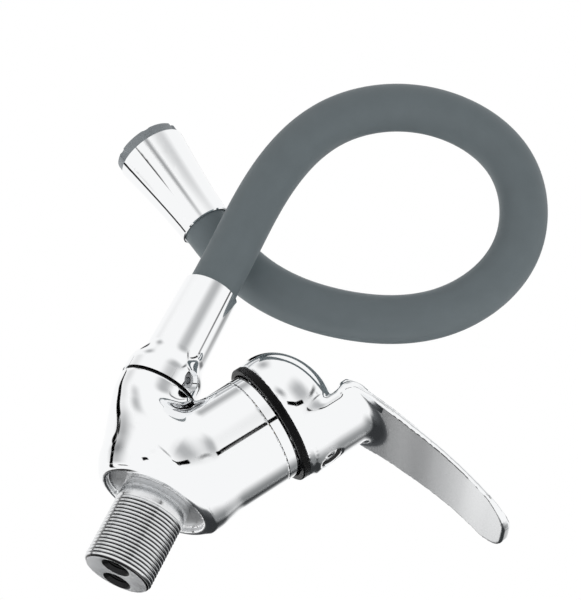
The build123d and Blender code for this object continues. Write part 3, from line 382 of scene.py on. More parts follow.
def skin(value: Callable[[np.ndarray], np.ndarray], low: Sequence[float], high: Sequence[float],
         step: float) -> tuple[np.ndarray, list]:
    """Closed mesh where a field is zero, one vertex for each cell that the surface passes.

    Each vertex starts at the mean of the crossings on its cell's edges and is then moved onto the surface, so
    the mesh is as smooth as the field. Each crossed edge gives one face, between the four cells around it.

    Args:
        value: the field, negative inside, for an array of points.
        low: lowest corner of the space that is searched.
        high: highest corner.
        step: side of a cell, in millimetres.

    Returns:
        The vertices and the faces' vertex numbers.
    """
    axes = [np.arange(a - step, b + 2 * step, step) for a, b in zip(low, high)]
    shape = tuple(len(a) for a in axes)
    nodes = np.stack(np.meshgrid(*axes, indexing="ij"), -1)
    f = value(nodes.reshape(-1, 3)).reshape(shape)
    cells = tuple(n - 1 for n in shape)
    total, count = np.zeros((*cells, 3)), np.zeros(cells)
    crossings = []
    for axis in range(3):
        first = [slice(None)] * 3
        second = [slice(None)] * 3
        first[axis], second[axis] = slice(0, -1), slice(1, None)
        fa, fb = f[tuple(first)], f[tuple(second)]
        cross = (fa < 0) != (fb < 0)
        part = np.where(cross, fa / np.where(cross, fa - fb, 1), 0)
        place = nodes[tuple(first)].copy()
        place[..., axis] += part * step
        crossings.append((cross, fa < 0))
        others = [k for k in range(3) if k != axis]
        for i in (0, 1):
            for j in (0, 1):
                pick = [slice(None)] * 3
                pick[others[0]] = slice(i, cells[others[0]] + i)
                pick[others[1]] = slice(j, cells[others[1]] + j)
                hit = cross[tuple(pick)]
                total += place[tuple(pick)] * hit[..., None]
                count += hit
    used = count > 0
    number = np.full(cells, -1)
    number[used] = np.arange(used.sum())
    faces = []
    for axis, (cross, inside) in enumerate(crossings):
        j, k = (axis + 1) % 3, (axis + 2) % 3
        place = np.argwhere(cross)
        within = (place[:, j] > 0) & (place[:, k] > 0) & (place[:, j] < cells[j]) & (place[:, k] < cells[k])
        place = place[within]
        corners = []
        for dj, dk in ((0, 0), (1, 0), (1, 1), (0, 1)):
            cell = place.copy()
            cell[:, j] -= dj
            cell[:, k] -= dk
            corners.append(number[tuple(cell.T)])
        quad = np.stack(corners, -1)
        out = inside[tuple(place.T)]
        faces.append(np.where(out[:, None], quad, quad[:, ::-1]))
    return settle(value, total[used] / count[used][:, None], step), np.concatenate(faces).tolist()


# Pieces


@dataclass
class Hose:
    """Silicone sleeve of the gooseneck, a round section carried along one smooth centreline."""

    radius: float = 10.0
    bore: float = 6.5
    stations: int = 300
    around: int = 64
    # Control points of the centreline, from the collar's web to the nozzle's
    control: tuple = (
        (-20.0, 0.0, 66.0), (-20.1, 0.0, 80.0), (-19.4, 0.0, 107.0), (-21.9, -0.1, 148.0),
        (-12.8, 2.0, 189.1), (22.4, 6.2, 215.2), (67.0, 11.8, 211.3), (87.6, 16.8, 169.5),
        (67.8, 21.4, 129.6), (28.5, 24.3, 114.0), (-13.2, 23.9, 111.7), (-37.8, 24.0, 127.6),
        (-48.9, 24.0, 134.4))

    def centreline(self) -> tuple[np.ndarray, np.ndarray]:
        """Cubic B-spline with clamped ends over evenly spaced knots, worked out by its recurrence.

        Returns:
            Points along the line and unit tangents at them.
        """
        control = np.array(self.control)
        count, degree = len(control), 3
        knots = np.concatenate([np.zeros(degree), np.linspace(0, 1, count - degree + 1), np.ones(degree)])
        last = 1 - 1e-9  # just under the last knot, which belongs to no span
        t = np.linspace(0, last, self.stations)
        basis = ((t[:, None] >= knots[:-1]) & (t[:, None] < knots[1:])).astype(float)
        for power in range(1, degree + 1):
            low, high = knots[:-power - 1], knots[power:-1]
            span = np.where(high > low, high - low, 1)
            low_next, high_next = knots[1:-power], knots[power + 1:]
            span_next = np.where(high_next > low_next, high_next - low_next, 1)
            basis = (basis[:, :-1] * (t[:, None] - low) / span * (high > low)
                     + basis[:, 1:] * (high_next - t[:, None]) / span_next * (high_next > low_next))
        points = basis @ control
        tangents = np.gradient(points, axis=0)
        return points, tangents / np.linalg.norm(tangents, axis=1, keepdims=True)

    def build(self) -> bpy.types.Object:
        """Carries circles along the centreline, outwards over the sleeve and back through its bore.

        Each circle's first direction is the world's Y axis with the tangent's part taken out, which never
        turns over because the loop lies nearly in the XZ plane.

        Returns:
            The sleeve.
        """
        points, tangents = self.centreline()
        across = np.array([0.0, 1.0, 0.0]) - tangents * tangents[:, 1:2]
        across /= np.linalg.norm(across, axis=1, keepdims=True)
        inward = np.cross(tangents, across)
        turn = np.linspace(0, 2 * pi, self.around, endpoint=False)
        rings = []
        for radius, order in ((self.radius, slice(None)), (self.bore, slice(None, None, -1))):
            ring = points[:, None] + radius * (
                np.cos(turn)[None, :, None] * across[:, None] + np.sin(turn)[None, :, None] * inward[:, None])
            rings.append(ring[order])
        grid = np.concatenate([*rings, rings[0][:1]])
        faces = ring_faces(len(grid), self.around)
        return mesh_object("gooseneck_sleeve", grid.reshape(-1, 3), faces, SILICONE, Body.SPOUT,
                           ["hose_sleeve"])


@dataclass(frozen=True)
class Branch:
    """Axis of the inclined branch, which starts behind the origin and leans forwards.

    The foot is how far behind it starts, and the seat is how far along it the lever sits.
    """

    tilt: float = 30.0
    foot: float = 2.4
    seat: float = 58.4

    def directions(self, x: np.ndarray, z: np.ndarray) -> tuple[np.ndarray, np.ndarray]:
        """Reads places in the branch's own directions.

        Args:
            x: places along X.
            z: heights.

        Returns:
            Distances from the axis, forwards, and distances along it.
        """
        c, s = cos(radians(self.tilt)), sin(radians(self.tilt))
        return (x + self.foot) * c - z * s, (x + self.foot) * s + z * c

    def seated(self, points: np.ndarray) -> np.ndarray:
        """Carries points from the lever's directions into the frame.

        Args:
            points: places forwards, across and up the branch from the lever's seat.

        Returns:
            The same points in the frame.
        """
        c, s = cos(radians(self.tilt)), sin(radians(self.tilt))
        seat = np.array([self.seat * s - self.foot, 0, self.seat * c])
        return points @ np.array([[c, 0, -s], [0, 1, 0], [s, 0, c]]) + seat


BRANCH = Branch()


@dataclass
class Lever:
    """Domed hub, neck and paddle as one casting whose forms flow into each other.

    The skin is where a distance field is zero. The field joins an ellipsoid dome, a half-round neck and a
    thin paddle with soft minimums. Its points are in the lever's own directions: u forwards and down, v
    across and w up the branch.
    """

    dome_radius: float = 25.75
    dome_height: float = 20.1
    dome_middle: float = 5.0
    neck_radius: float = 25.55
    neck_rear: float = 9.6
    neck_corner: float = 6.0
    neck_foot: float = 4.0
    neck_into_paddle: float = 1.0
    neck_top_slope: float = 0.95
    # Side view of the paddle: distance forwards, height of the underside and of the crown
    strip: tuple = ((8.0, 25.25, 30.95), (14.0, 27.05, 33.15), (20.0, 29.15, 35.35), (30.0, 32.65, 38.45),
                    (40.0, 35.65, 40.95), (52.0, 38.95, 43.75), (66.0, 41.75, 46.15), (80.0, 43.35, 47.55),
                    (92.0, 44.35, 48.15))
    # Plan of the paddle: distance forwards and half width
    plan: tuple = ((0.0, 12.0), (9.0, 19.0), (13.5, 22.75), (18.0, 23.9), (30.0, 22.55), (50.0, 20.85),
                   (70.0, 19.15), (92.0, 18.45))
    length: float = 89.1
    corner: float = 14.0
    root: float = 9.1
    rise: float = 0.3
    crown_radius: float = 67.0
    crown_reach: float = 26.0
    edge_round: float = 0.7
    # How softly the neck flows into the dome, and the paddle into both
    valley: float = 2.2
    throat: float = 5.5
    # Room under the hub: for the black ring, and for the cover as the lever tips about its pivot
    ring_room: float = 23.7
    ring_room_top: float = 2.2
    pivot_depth: float = 10.0
    lift: float = 23.0
    cover_outside: float = 22.8
    cover_inside: float = 11.9
    cover_top: float = 7.4
    # Boss round the stem's square socket, the clamping screw's hole and the plug's
    boss_radius: float = 7.6
    boss_middle: float = 0.6
    boss_half: float = 2.6
    socket_half: float = 4.1
    socket_top: float = 17.8
    screw_radius: float = 2.6
    screw_middle: float = 15.0
    screw_half: float = 12.0
    plug_height: float = 9.7
    plug_radius: float = 4.95
    plug_depth: float = 4.6
    # Space that the field is searched in, and the side of a cell
    low: tuple = (-27, -26.5, -3)
    high: tuple = (92, 26.5, 50)
    step: float = 0.8

    def dome(self, points: np.ndarray) -> np.ndarray:
        """Distance to the dome: an ellipsoid's value less 1, over its slope, cut flat at the black ring.

        Args:
            points: points in the lever's directions.

        Returns:
            The distances.
        """
        u, v, w = points.T
        least = 1e-3  # keeps the ellipsoid's middle from a division by zero
        along, above = np.hypot(u, v) / self.dome_radius, (w - self.dome_middle) / self.dome_height
        value = np.maximum(np.hypot(along, above), least)
        slope = np.hypot(along / self.dome_radius, above / self.dome_height) / value
        return np.maximum((value - 1) / np.maximum(slope, least), -w)

    def neck(self, points: np.ndarray) -> np.ndarray:
        """Distance to the neck: the front part of a round column, closed inside the paddle.

        Args:
            points: points in the lever's directions.

        Returns:
            The distances.
        """
        u, v, w = points.T
        column = rounded_meet(np.hypot(u, v) - self.neck_radius, self.neck_rear - u, self.neck_corner)
        top = (w - table_curve(self.strip, 1, u) - self.neck_into_paddle) * self.neck_top_slope
        return np.maximum(np.maximum(column, self.neck_foot - w), top)

    def paddle(self, points: np.ndarray) -> np.ndarray:
        """Distance to the paddle: a flat underside, and a crown that falls in an arc towards the sides.

        Args:
            points: points in the lever's directions.

        Returns:
            The distances.
        """
        u, v, w = points.T
        under, crown = table_curve(self.strip, 1, u), table_curve(self.strip, 2, u)
        crown = crown - np.minimum(np.abs(v), self.crown_reach)**2 / (2 * self.crown_radius)
        square = 1 / np.hypot(1, self.rise)  # turns a height into a distance square to the rising strip
        high = np.maximum((w - crown) * square, (under - w) * square)
        wide = rounded_meet(np.abs(v) - table_curve(self.plan, 1, u), u - self.length, self.corner)
        return rounded_meet(high, np.maximum(wide, self.root - u), self.edge_round)

    def hollow(self, points: np.ndarray) -> np.ndarray:
        """Distance to the room under the hub, which leaves the boss standing, and to the clamp's holes.

        Args:
            points: points in the lever's directions.

        Returns:
            The distances.
        """
        u, v, w = points.T
        radial = np.hypot(u, v)
        room = np.maximum(radial - self.ring_room, w - self.ring_room_top)
        for turn in (self.lift / 3, self.lift * 2 / 3, self.lift):
            c, s = cos(radians(turn)), sin(radians(turn))
            height = w + self.pivot_depth
            along, above = u * c - height * s, height * c + u * s
            ring = np.hypot(along, v)
            cover = np.maximum(np.maximum(ring - self.cover_outside, self.cover_inside - ring),
                               above - self.cover_top)
            room = np.minimum(room, cover)
        boss = np.maximum(radial - self.boss_radius, np.abs(w - self.boss_middle) - self.boss_half)
        socket = np.maximum(np.maximum(np.abs(u), np.abs(v)) - self.socket_half, w - self.socket_top)
        way = np.hypot(v, w - self.plug_height)
        screw = np.maximum(way - self.screw_radius, np.abs(u - self.screw_middle) - self.screw_half)
        plug = np.maximum(way - self.plug_radius, self.neck_radius - self.plug_depth - u)
        return np.minimum.reduce((np.maximum(room, -boss), socket, screw, plug))

    def distance(self, points: np.ndarray) -> np.ndarray:
        """Distance to the whole casting: soft minimums of the forms, less the hollow.

        Args:
            points: points in the lever's directions.

        Returns:
            The distances, negative inside.
        """
        solid = soft_minimum(self.dome(points), self.neck(points), self.valley)
        solid = soft_minimum(solid, self.paddle(points), self.throat)
        return np.maximum(solid, -self.hollow(points))

    def build(self) -> bpy.types.Object:
        """Meshes the field's skin and sets it on the branch.

        Returns:
            The casting.
        """
        points, faces = skin(self.distance, self.low, self.high, self.step)
        return mesh_object("lever_casting", BRANCH.seated(points), faces, CHROME, Body.LEVER,
                           ["lever"])


@dataclass
class BodyCasting:
    """Body as one casting: a swelling foot that leans back into the spout's arm, and the inclined branch.

    Like the lever it is the skin of a field. The two forms flow together, most softly at their sides.
    """

    # Height, offset to the rear and radius of the round sections
    sections: tuple = ((-2.0, 0.0, 23.2), (0.0, 0.0, 24.0), (6.5, 0.0, 27.2), (13.0, 0.8, 27.75),
                       (22.0, 6.4, 25.0), (30.0, 14.0, 19.7), (36.0, 18.8, 16.4), (42.0, 20.0, 15.7),
                       (52.0, 20.0, 15.7))
    foot_round: float = 2.0
    arm_slope: float = 0.8
    branch_radius: float = 22.22
    branch_length: float = 50.88
    branch_root: float = 16.0
    # How softly the arm and the branch meet in front, and how much more softly at the sides
    valley: float = 4.5
    side_valley: float = 5.5
    side_reach: float = 24.0
    front_start: float = 4.0
    front_reach: float = 16.0
    # Machined room: its radii, with heights in the frame or depths under the branch's end
    recess_radius: float = 20.8
    recess_top: float = 2.6
    shank_radius: float = 12.55
    shank_top: float = 8.65
    socket_at: float = 20.0
    socket_top: float = 43.2
    socket_radius: float = 9.05
    socket_floor: float = 34.15
    way_radius: float = 5.5
    way_floor: float = 27.5
    collar_room: float = 16.4
    nut_radius: float = 20.4
    nut_depth: float = 9.0
    cartridge_radius: float = 18.2
    cartridge_depth: float = 30.55
    # Space that the field is searched in, and the side of a cell
    low: tuple = (-37, -30, -1)
    high: tuple = (47, 30, 58)
    step: float = 0.75

    def hollow(self, points: np.ndarray) -> np.ndarray:
        """Distance to the machined room: foot recess, shank, spout socket, nut and cartridge bores.

        Args:
            points: points in the frame.

        Returns:
            The distances.
        """
        x, y, z = points.T
        out, up = BRANCH.directions(x, z)
        foot, spout, bore = np.hypot(x, y), np.hypot(x + self.socket_at, y), np.hypot(out, y)
        rooms = (np.maximum(foot - self.recess_radius, z - self.recess_top),
                 np.maximum(foot - self.shank_radius, z - self.shank_top),
                 np.maximum(spout - self.socket_radius, self.socket_floor - z),
                 np.maximum(spout - self.way_radius, self.way_floor - z),
                 np.maximum(spout - self.collar_room, self.socket_top - z),
                 np.maximum(bore - self.nut_radius, self.branch_length - self.nut_depth - up),
                 np.maximum(bore - self.cartridge_radius, self.branch_length - self.cartridge_depth - up))
        return np.minimum.reduce(rooms)

    def distance(self, points: np.ndarray) -> np.ndarray:
        """Distance to the whole casting: the arm and the branch flowed together, less the machined room.

        A smooth step of the distance from the middle makes the flow wider at the sides, and that part fades
        out towards the front.

        Args:
            points: points in the frame.

        Returns:
            The distances, negative inside.
        """
        x, y, z = points.T
        out, up = BRANCH.directions(x, z)
        branch = np.maximum(np.maximum(np.hypot(out, y) - self.branch_radius, up - self.branch_length),
                            self.branch_root - up)
        back, radius = table_curve(self.sections, 1, z), table_curve(self.sections, 2, z)
        arm = (np.hypot(x + back, y) - radius) * self.arm_slope
        side = np.clip(np.abs(y) / self.side_reach, 0, 1)
        front = np.clip((x - self.front_start) / self.front_reach, 0, 1)
        softness = self.valley + self.side_valley * side**2 * (3 - 2 * side) * (1 - front)
        solid = soft_minimum(arm, branch, softness)
        solid = np.maximum(solid, np.minimum(z - self.socket_top, branch))
        solid = rounded_meet(solid, -z, self.foot_round)
        return np.maximum(solid, -self.hollow(points))

    def build(self) -> bpy.types.Object:
        """Meshes the skin and gives the recess's turned floor its own finish.

        Returns:
            The casting.
        """
        points, faces = skin(self.distance, self.low, self.high, self.step)
        piece = mesh_object("body_casting", points, faces, CHROME, Body.TAP, ["body"])
        middles = points[np.array(faces)].mean(1)
        near, rim = 0.1, 0.2  # how near the floor's level, and how far inside its rim, the floor's faces are
        floor = ((np.abs(middles[:, 2] - self.recess_top) < near)
                 & (np.hypot(middles[:, 0], middles[:, 1]) < self.recess_radius - rim))
        add_finishes(piece, (TURNED_FLOOR,), floor)
        return piece


@dataclass
class ThreadedShank:
    """Shank with its cut thread and the two tapped inlets in its end."""

    radius: float = 13.95
    bottom: float = -32.5
    chamfer: float = 1.2
    pitch: float = 1.5
    depth: float = 0.8
    thread_top: float = -4.5
    runout: float = 1.5
    shoulder: float = 2.55
    root_radius: float = 12.5
    top: float = 8.6
    around: int = 84
    first_row: float = 0.1
    row_mm: float = 0.16
    inlet_at: float = 6.75
    inlet_radius: float = 4.55
    inlet_chamfer: float = 1.3
    inlet_pitch: float = 1.0
    inlet_thread: float = 0.35
    inlet_depth: float = 15.0
    inlet_around: int = 40
    inlet_row_mm: float = 0.2
    way_radius: float = 3.0
    way_end: float = 4.0  # how far under the shank's top the water way closes
    edge: float = 0.05  # distance between two rings that keep an edge sharp
    flat: float = 0.12  # share of a thread's half pitch that its crest takes up, and its root too

    def tooth(self, turn: np.ndarray, height: np.ndarray, pitch: float) -> np.ndarray:
        """Depth of a thread on a single helix: a triangle wave of height less turn, cut off at both ends.

        Args:
            turn: angles about the axis, in radians.
            height: heights.
            pitch: the thread's pitch.

        Returns:
            The depths, from 0 at the crest to 1 at the root.
        """
        phase = (height / pitch - turn / (2 * pi)) % 1.0
        return np.clip((np.abs(2 * phase - 1) - self.flat) / (1 - 2 * self.flat), 0, 1)

    @staticmethod
    def rings(before: Sequence[tuple[float, float]], radius: np.ndarray, height: np.ndarray,
              after: Sequence[tuple[float, float]], turn: np.ndarray) -> np.ndarray:
        """Points of rings about the Z axis, plain ones before and after those with a thread.

        Args:
            before: radius and height of each plain ring that comes first.
            radius: radii of the threaded rings, a row for each ring.
            height: heights of the threaded rings, a row for each ring.
            after: radius and height of each plain ring that comes last.
            turn: angles of a ring's points, in one row.

        Returns:
            The points, by ring and by angle.
        """
        around = turn.shape[1]
        radius = np.vstack([np.full((1, around), r) for r, _ in before] + [radius]
                           + [np.full((1, around), r) for r, _ in after])
        z = np.concatenate([[h for _, h in before], height[:, 0], [h for _, h in after]])[:, None]
        return np.stack([radius * np.cos(turn), radius * np.sin(turn), np.repeat(z, around, 1)], -1)

    def outside(self) -> np.ndarray:
        """Rings of the outer surface: the chamfered, threaded column, its shoulder and the plain root.

        Returns:
            The points, by ring and by angle, from the end face's edge up.
        """
        turn = np.linspace(0, 2 * pi, self.around, endpoint=False)[None]
        z = np.arange(self.bottom + self.first_row, self.shoulder, self.row_mm)[:, None]
        envelope = np.minimum(self.radius, self.radius - self.chamfer + (z - self.bottom))
        fade = np.clip((self.thread_top - z) / self.runout, 0, 1)
        radius = np.minimum(envelope, self.radius - self.depth * fade * self.tooth(turn, z, self.pitch))
        rim = ((self.radius - self.chamfer, self.bottom),)
        tops = ((self.radius, self.shoulder), (self.radius - self.edge, self.shoulder),
                (self.root_radius, self.shoulder), (self.root_radius, self.top),
                (self.root_radius - 2 * self.edge, self.top))
        return self.rings(rim, radius, z, tops, turn)

    def inlet(self) -> np.ndarray:
        """Rings of one tapped inlet about the Z axis: its chamfered mouth, its thread and the water way.

        Returns:
            The points, by ring and by angle, from the mouth up.
        """
        turn = np.linspace(0, 2 * pi, self.inlet_around, endpoint=False)[None]
        mouth = self.inlet_radius + self.inlet_chamfer
        floor, end = self.bottom + self.inlet_depth, self.top - self.way_end
        z = np.arange(self.bottom + self.inlet_chamfer, floor, self.inlet_row_mm)[:, None]
        thread = self.inlet_thread * self.tooth(-turn, z, self.inlet_pitch)
        rim = ((mouth, self.bottom), (mouth - self.edge, self.bottom + self.edge))
        tops = ((self.inlet_radius, floor), (self.way_radius, floor), (self.way_radius, end),
                (self.edge, end))
        return self.rings(rim, self.inlet_radius - self.inlet_thread + thread, z, tops, turn)

    def end_face(self, points: np.ndarray, loops: list) -> list:
        """Fills the end face between the shank's edge and the inlets' mouths.

        A constrained Delaunay triangulation covers the whole disc, and the triangles whose middle lies in a
        mouth are left out.

        Args:
            points: all of the shank's points.
            loops: vertex numbers around the edge and around each mouth.

        Returns:
            Three vertex numbers for each face.
        """
        numbers = np.concatenate(loops)
        edges, start = [], 0
        for loop in loops:
            edges += [(start + i, start + (i + 1) % len(loop)) for i in range(len(loop))]
            start += len(loop)
        flat = [Vector(point) for point in points[numbers, :2]]
        places, _, triangles, origins, _, _ = delaunay_2d_cdt(flat, edges, [], 0, 1e-5)
        triangles = np.array(triangles)
        x, y = np.array(places)[triangles].mean(1).T
        reach = np.minimum(np.hypot(x, y - self.inlet_at), np.hypot(x, y + self.inlet_at))
        mouth = (self.inlet_radius + self.inlet_chamfer) * 0.99  # a little inside the mouth's own edge
        first = np.array([origin[0] for origin in origins])
        return numbers[first[triangles[reach > mouth]]][:, ::-1].tolist()

    def build(self) -> bpy.types.Object:
        """Joins the outer rings, the two inlets, each closed at its end, and the end face between them.

        Returns:
            The shank.
        """
        outer, inlet = self.outside(), self.inlet()
        points = [outer.reshape(-1, 3)]
        faces = ring_faces(len(outer), self.around)
        top = (len(outer) - 1) * self.around
        faces.append(list(range(top, top + self.around)))
        loops = [np.arange(self.around)]
        outside = len(faces)
        for place in (-self.inlet_at, self.inlet_at):
            start = sum(len(p) for p in points)
            points.append((inlet + (0, place, 0)).reshape(-1, 3))
            faces += (np.array(ring_faces(len(inlet), self.inlet_around))[:, ::-1] + start).tolist()
            last = start + (len(inlet) - 1) * self.inlet_around
            faces.append(list(range(last, last + self.inlet_around))[::-1])
            loops.append(np.arange(start, start + self.inlet_around))
        bored = len(faces)
        points = np.vstack(points)
        faces += self.end_face(points, loops)
        shank = mesh_object("threaded_shank", points, faces, PLATED_THREAD, Body.TAP, ["shank"])
        # The inlets' bores get the water way's painted shade, and the end face gets the satin finish
        marks = np.zeros(len(faces), int)
        marks[outside:bored], marks[bored:] = 1, 2
        add_finishes(shank, (WATER_WAY_PAINTED_SHADE, FACED_END), marks)
        return shank


@dataclass
class CoverPlug:
    """Plug over the clamping screw: a low dome with a dimple, sunk a little into the lever's neck."""

    height: float = 9.7
    around: int = 48
    # Radius and distance from the branch's axis, from the plug's back to the dimple in its face
    profile: tuple = ((0.0, 21.1), (4.9, 21.1), (4.9, 24.9), (4.7, 24.9), (4.7, 22.9), (4.3, 22.85),
                      (4.28, 23.6), (4.2, 23.85), (3.9, 24.1), (2.6, 24.35), (1.0, 24.42), (0.92, 24.35),
                      (0.88, 23.5), (0.0, 23.4))
    # Painted shade, in the black rubber's colour: on the lining of the hole, in the gap behind the dome's
    # edge and in the dimple
    shade_lining_inside: float = 4.4
    shade_gap_inside: float = 4.1
    shade_gap_front: float = 22.9
    shade_dimple_radius: float = 0.9

    def turned(self) -> tuple[np.ndarray, list]:
        """Closed solid of revolution about Z from the profile, which starts and ends on the axis.

        Returns:
            The vertices and the faces' vertex numbers.
        """
        turn = np.linspace(0, 2 * pi, self.around, endpoint=False)
        rings = np.array(self.profile[1:-1], float)
        points = np.stack([rings[:, :1] * np.cos(turn), rings[:, :1] * np.sin(turn),
                           np.repeat(rings[:, 1:], self.around, 1)], -1).reshape(-1, 3)
        first, last, top = len(points), len(points) + 1, (len(rings) - 1) * self.around
        points = np.vstack([points, (0, 0, self.profile[0][1]), (0, 0, self.profile[-1][1])])
        here = np.arange(self.around)
        after = (here + 1) % self.around
        back = np.stack([np.full(self.around, first), after, here], -1)
        front = np.stack([np.full(self.around, last), top + here, top + after], -1)
        return points, ring_faces(len(rings), self.around) + back.tolist() + front.tolist()

    def build(self) -> bpy.types.Object:
        """Turns the profile and lays its axis along the lever's forward direction.

        Returns:
            The plug.
        """
        points, faces = self.turned()
        middles = np.array([points[face].mean(axis=0) for face in faces])
        reach = np.hypot(middles[:, 0], middles[:, 1])
        # Painted shade: the faces of the lining, the gap and the dimple get the dark rubber colour
        black = ((reach > self.shade_lining_inside) | ((reach > self.shade_gap_inside) & (middles[:, 2] < self.shade_gap_front))
                 | (reach < self.shade_dimple_radius))
        x, y, z = points.T
        placed = BRANCH.seated(np.stack([z, y, self.height - x], -1))
        plug = mesh_object("plug_button", placed, faces, CHROME, Body.LEVER, ["lever_plug"])
        add_finishes(plug, (EPDM_AND_PAINTED_SHADE,), black)
        return plug


@dataclass
class CadNodes:
    """Every CAD node and its finish. Finer pieces stand for five of them, and the rest show themselves."""

    finishes: dict = field(default_factory=lambda: {
        CHROME: ("body", "cover_ring", "lever", "spout_collar", "nozzle", "lever_plug"),
        PLATED_THREAD: ("shank",),
        BRASS: ("cartridge_nut", "nipple", "lower_insert", "upper_insert"),
        STEEL: ("stem", "stem_pin", "lever_screw", "collar_screw"),
        WIRE_SCREEN_PAINTED_SHADE: ("aerator_mesh",),
        CERAMIC: ("fixed_disc", "moving_disc"),
        ACETAL: ("cartridge_housing", "cartridge_base", "disc_carrier", "control_rotor", "hose_core"),
        BLACK_ABS: ("black_ring", "slip_washer", "aerator"),
        GREY_ABS: ("tip_ring",),
        EPDM_AND_PAINTED_SHADE: ("port_seals", "nipple_seals", "aerator_seal"),
        SILICONE: ("hose_sleeve",),
    })

    def dress(self) -> None:
        """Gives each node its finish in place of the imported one."""
        for finish, names in self.finishes.items():
            for name in names:
                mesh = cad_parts[name].data
                mesh.materials.clear()
                mesh.materials.append(finish.make())
                LOG.info("%s: %s", name, finish.name)


# Studio


@dataclass(frozen=True)
class Lamp:
    """A square soft lamp: its centre and its side in metres, and its power in watts."""

    name: str
    place: tuple
    size: float
    power: float


@dataclass(frozen=True)
class Card:
    """A grey card of the studio, long from one direction to another as the tap sees it.

    A direction is an azimuth, from +Y towards +X, and an elevation, both in degrees, as the breadth is. The
    softness is the share of its half size, at each edge, over which the card fades to clear.
    """

    name: str
    start: tuple
    end: tuple
    breadth: float
    shade: str
    softness: float

    @staticmethod
    def way(direction: tuple) -> Vector:
        """Gives a direction's unit vector."""
        turn, rise = radians(direction[0]), radians(direction[1])
        return Vector((sin(turn) * cos(rise), cos(turn) * cos(rise), sin(rise)))


LAMPS = (Lamp("key", (-0.35, 1.2, 1.15), 1.0, 28.0), Lamp("fill", (0.9, -1.1, 0.7), 1.0, 4.0))
CARDS = (
    # Broad hazes: the greyer sides of a white room
    Card("back_haze", (11, -60), (11, 12), 58, "6c6e70", 0.4),
    Card("back_wide_haze", (24, -56), (24, 14), 96, "868889", 0.7),
    Card("left_haze", (-88, -36), (-88, 30), 52, "8e8f90", 1.0),
    Card("high_left_haze", (-118, 34), (-66, 46), 30, "b4b5b6", 1.0),
    Card("right_haze", (14, 32), (70, 27), 26, "808182", 0.8),
    Card("near_haze", (128, 64), (172, 4), 56, "b8b9ba", 0.9),
    Card("front_haze", (178, 2), (-146, 6), 24, "a4a5a6", 1.0),
    # Narrow ones, mostly black: the dark lines in the castings
    Card("near_line_high", (70, 70), (138, 33), 8, "6a6b6c", 0.9),
    Card("near_line", (147, 21), (161, 1), 8.5, "030303", 0.3),
    Card("near_line_low", (158, 4), (180, -10), 9, "040404", 0.3),
    Card("left_line_high", (-60, 19), (-77, 9), 9, "030303", 0.3),
    Card("left_line", (-76, 11), (-79, -10), 9, "030303", 0.3),
    Card("left_line_low", (-79, -7), (-68, -26), 9, "040404", 0.3),
    Card("left_line_foot", (-70, -25), (-40, -38), 9, "101010", 0.4),
    Card("rear_line", (-50, 38), (-12, 29), 11, "030303", 0.4),
    Card("right_line", (90, 20), (101, 62), 9, "1c1c1c", 0.5),
    Card("low_front_line", (-149, -23), (-136, -28), 8, "0a0a0a", 0.4),
    Card("low_left_line", (-100, -45), (-70, -39), 8, "202020", 0.5),
    Card("under_line_left", (-60, -62), (-14, -12), 10, "242424", 0.6),
)


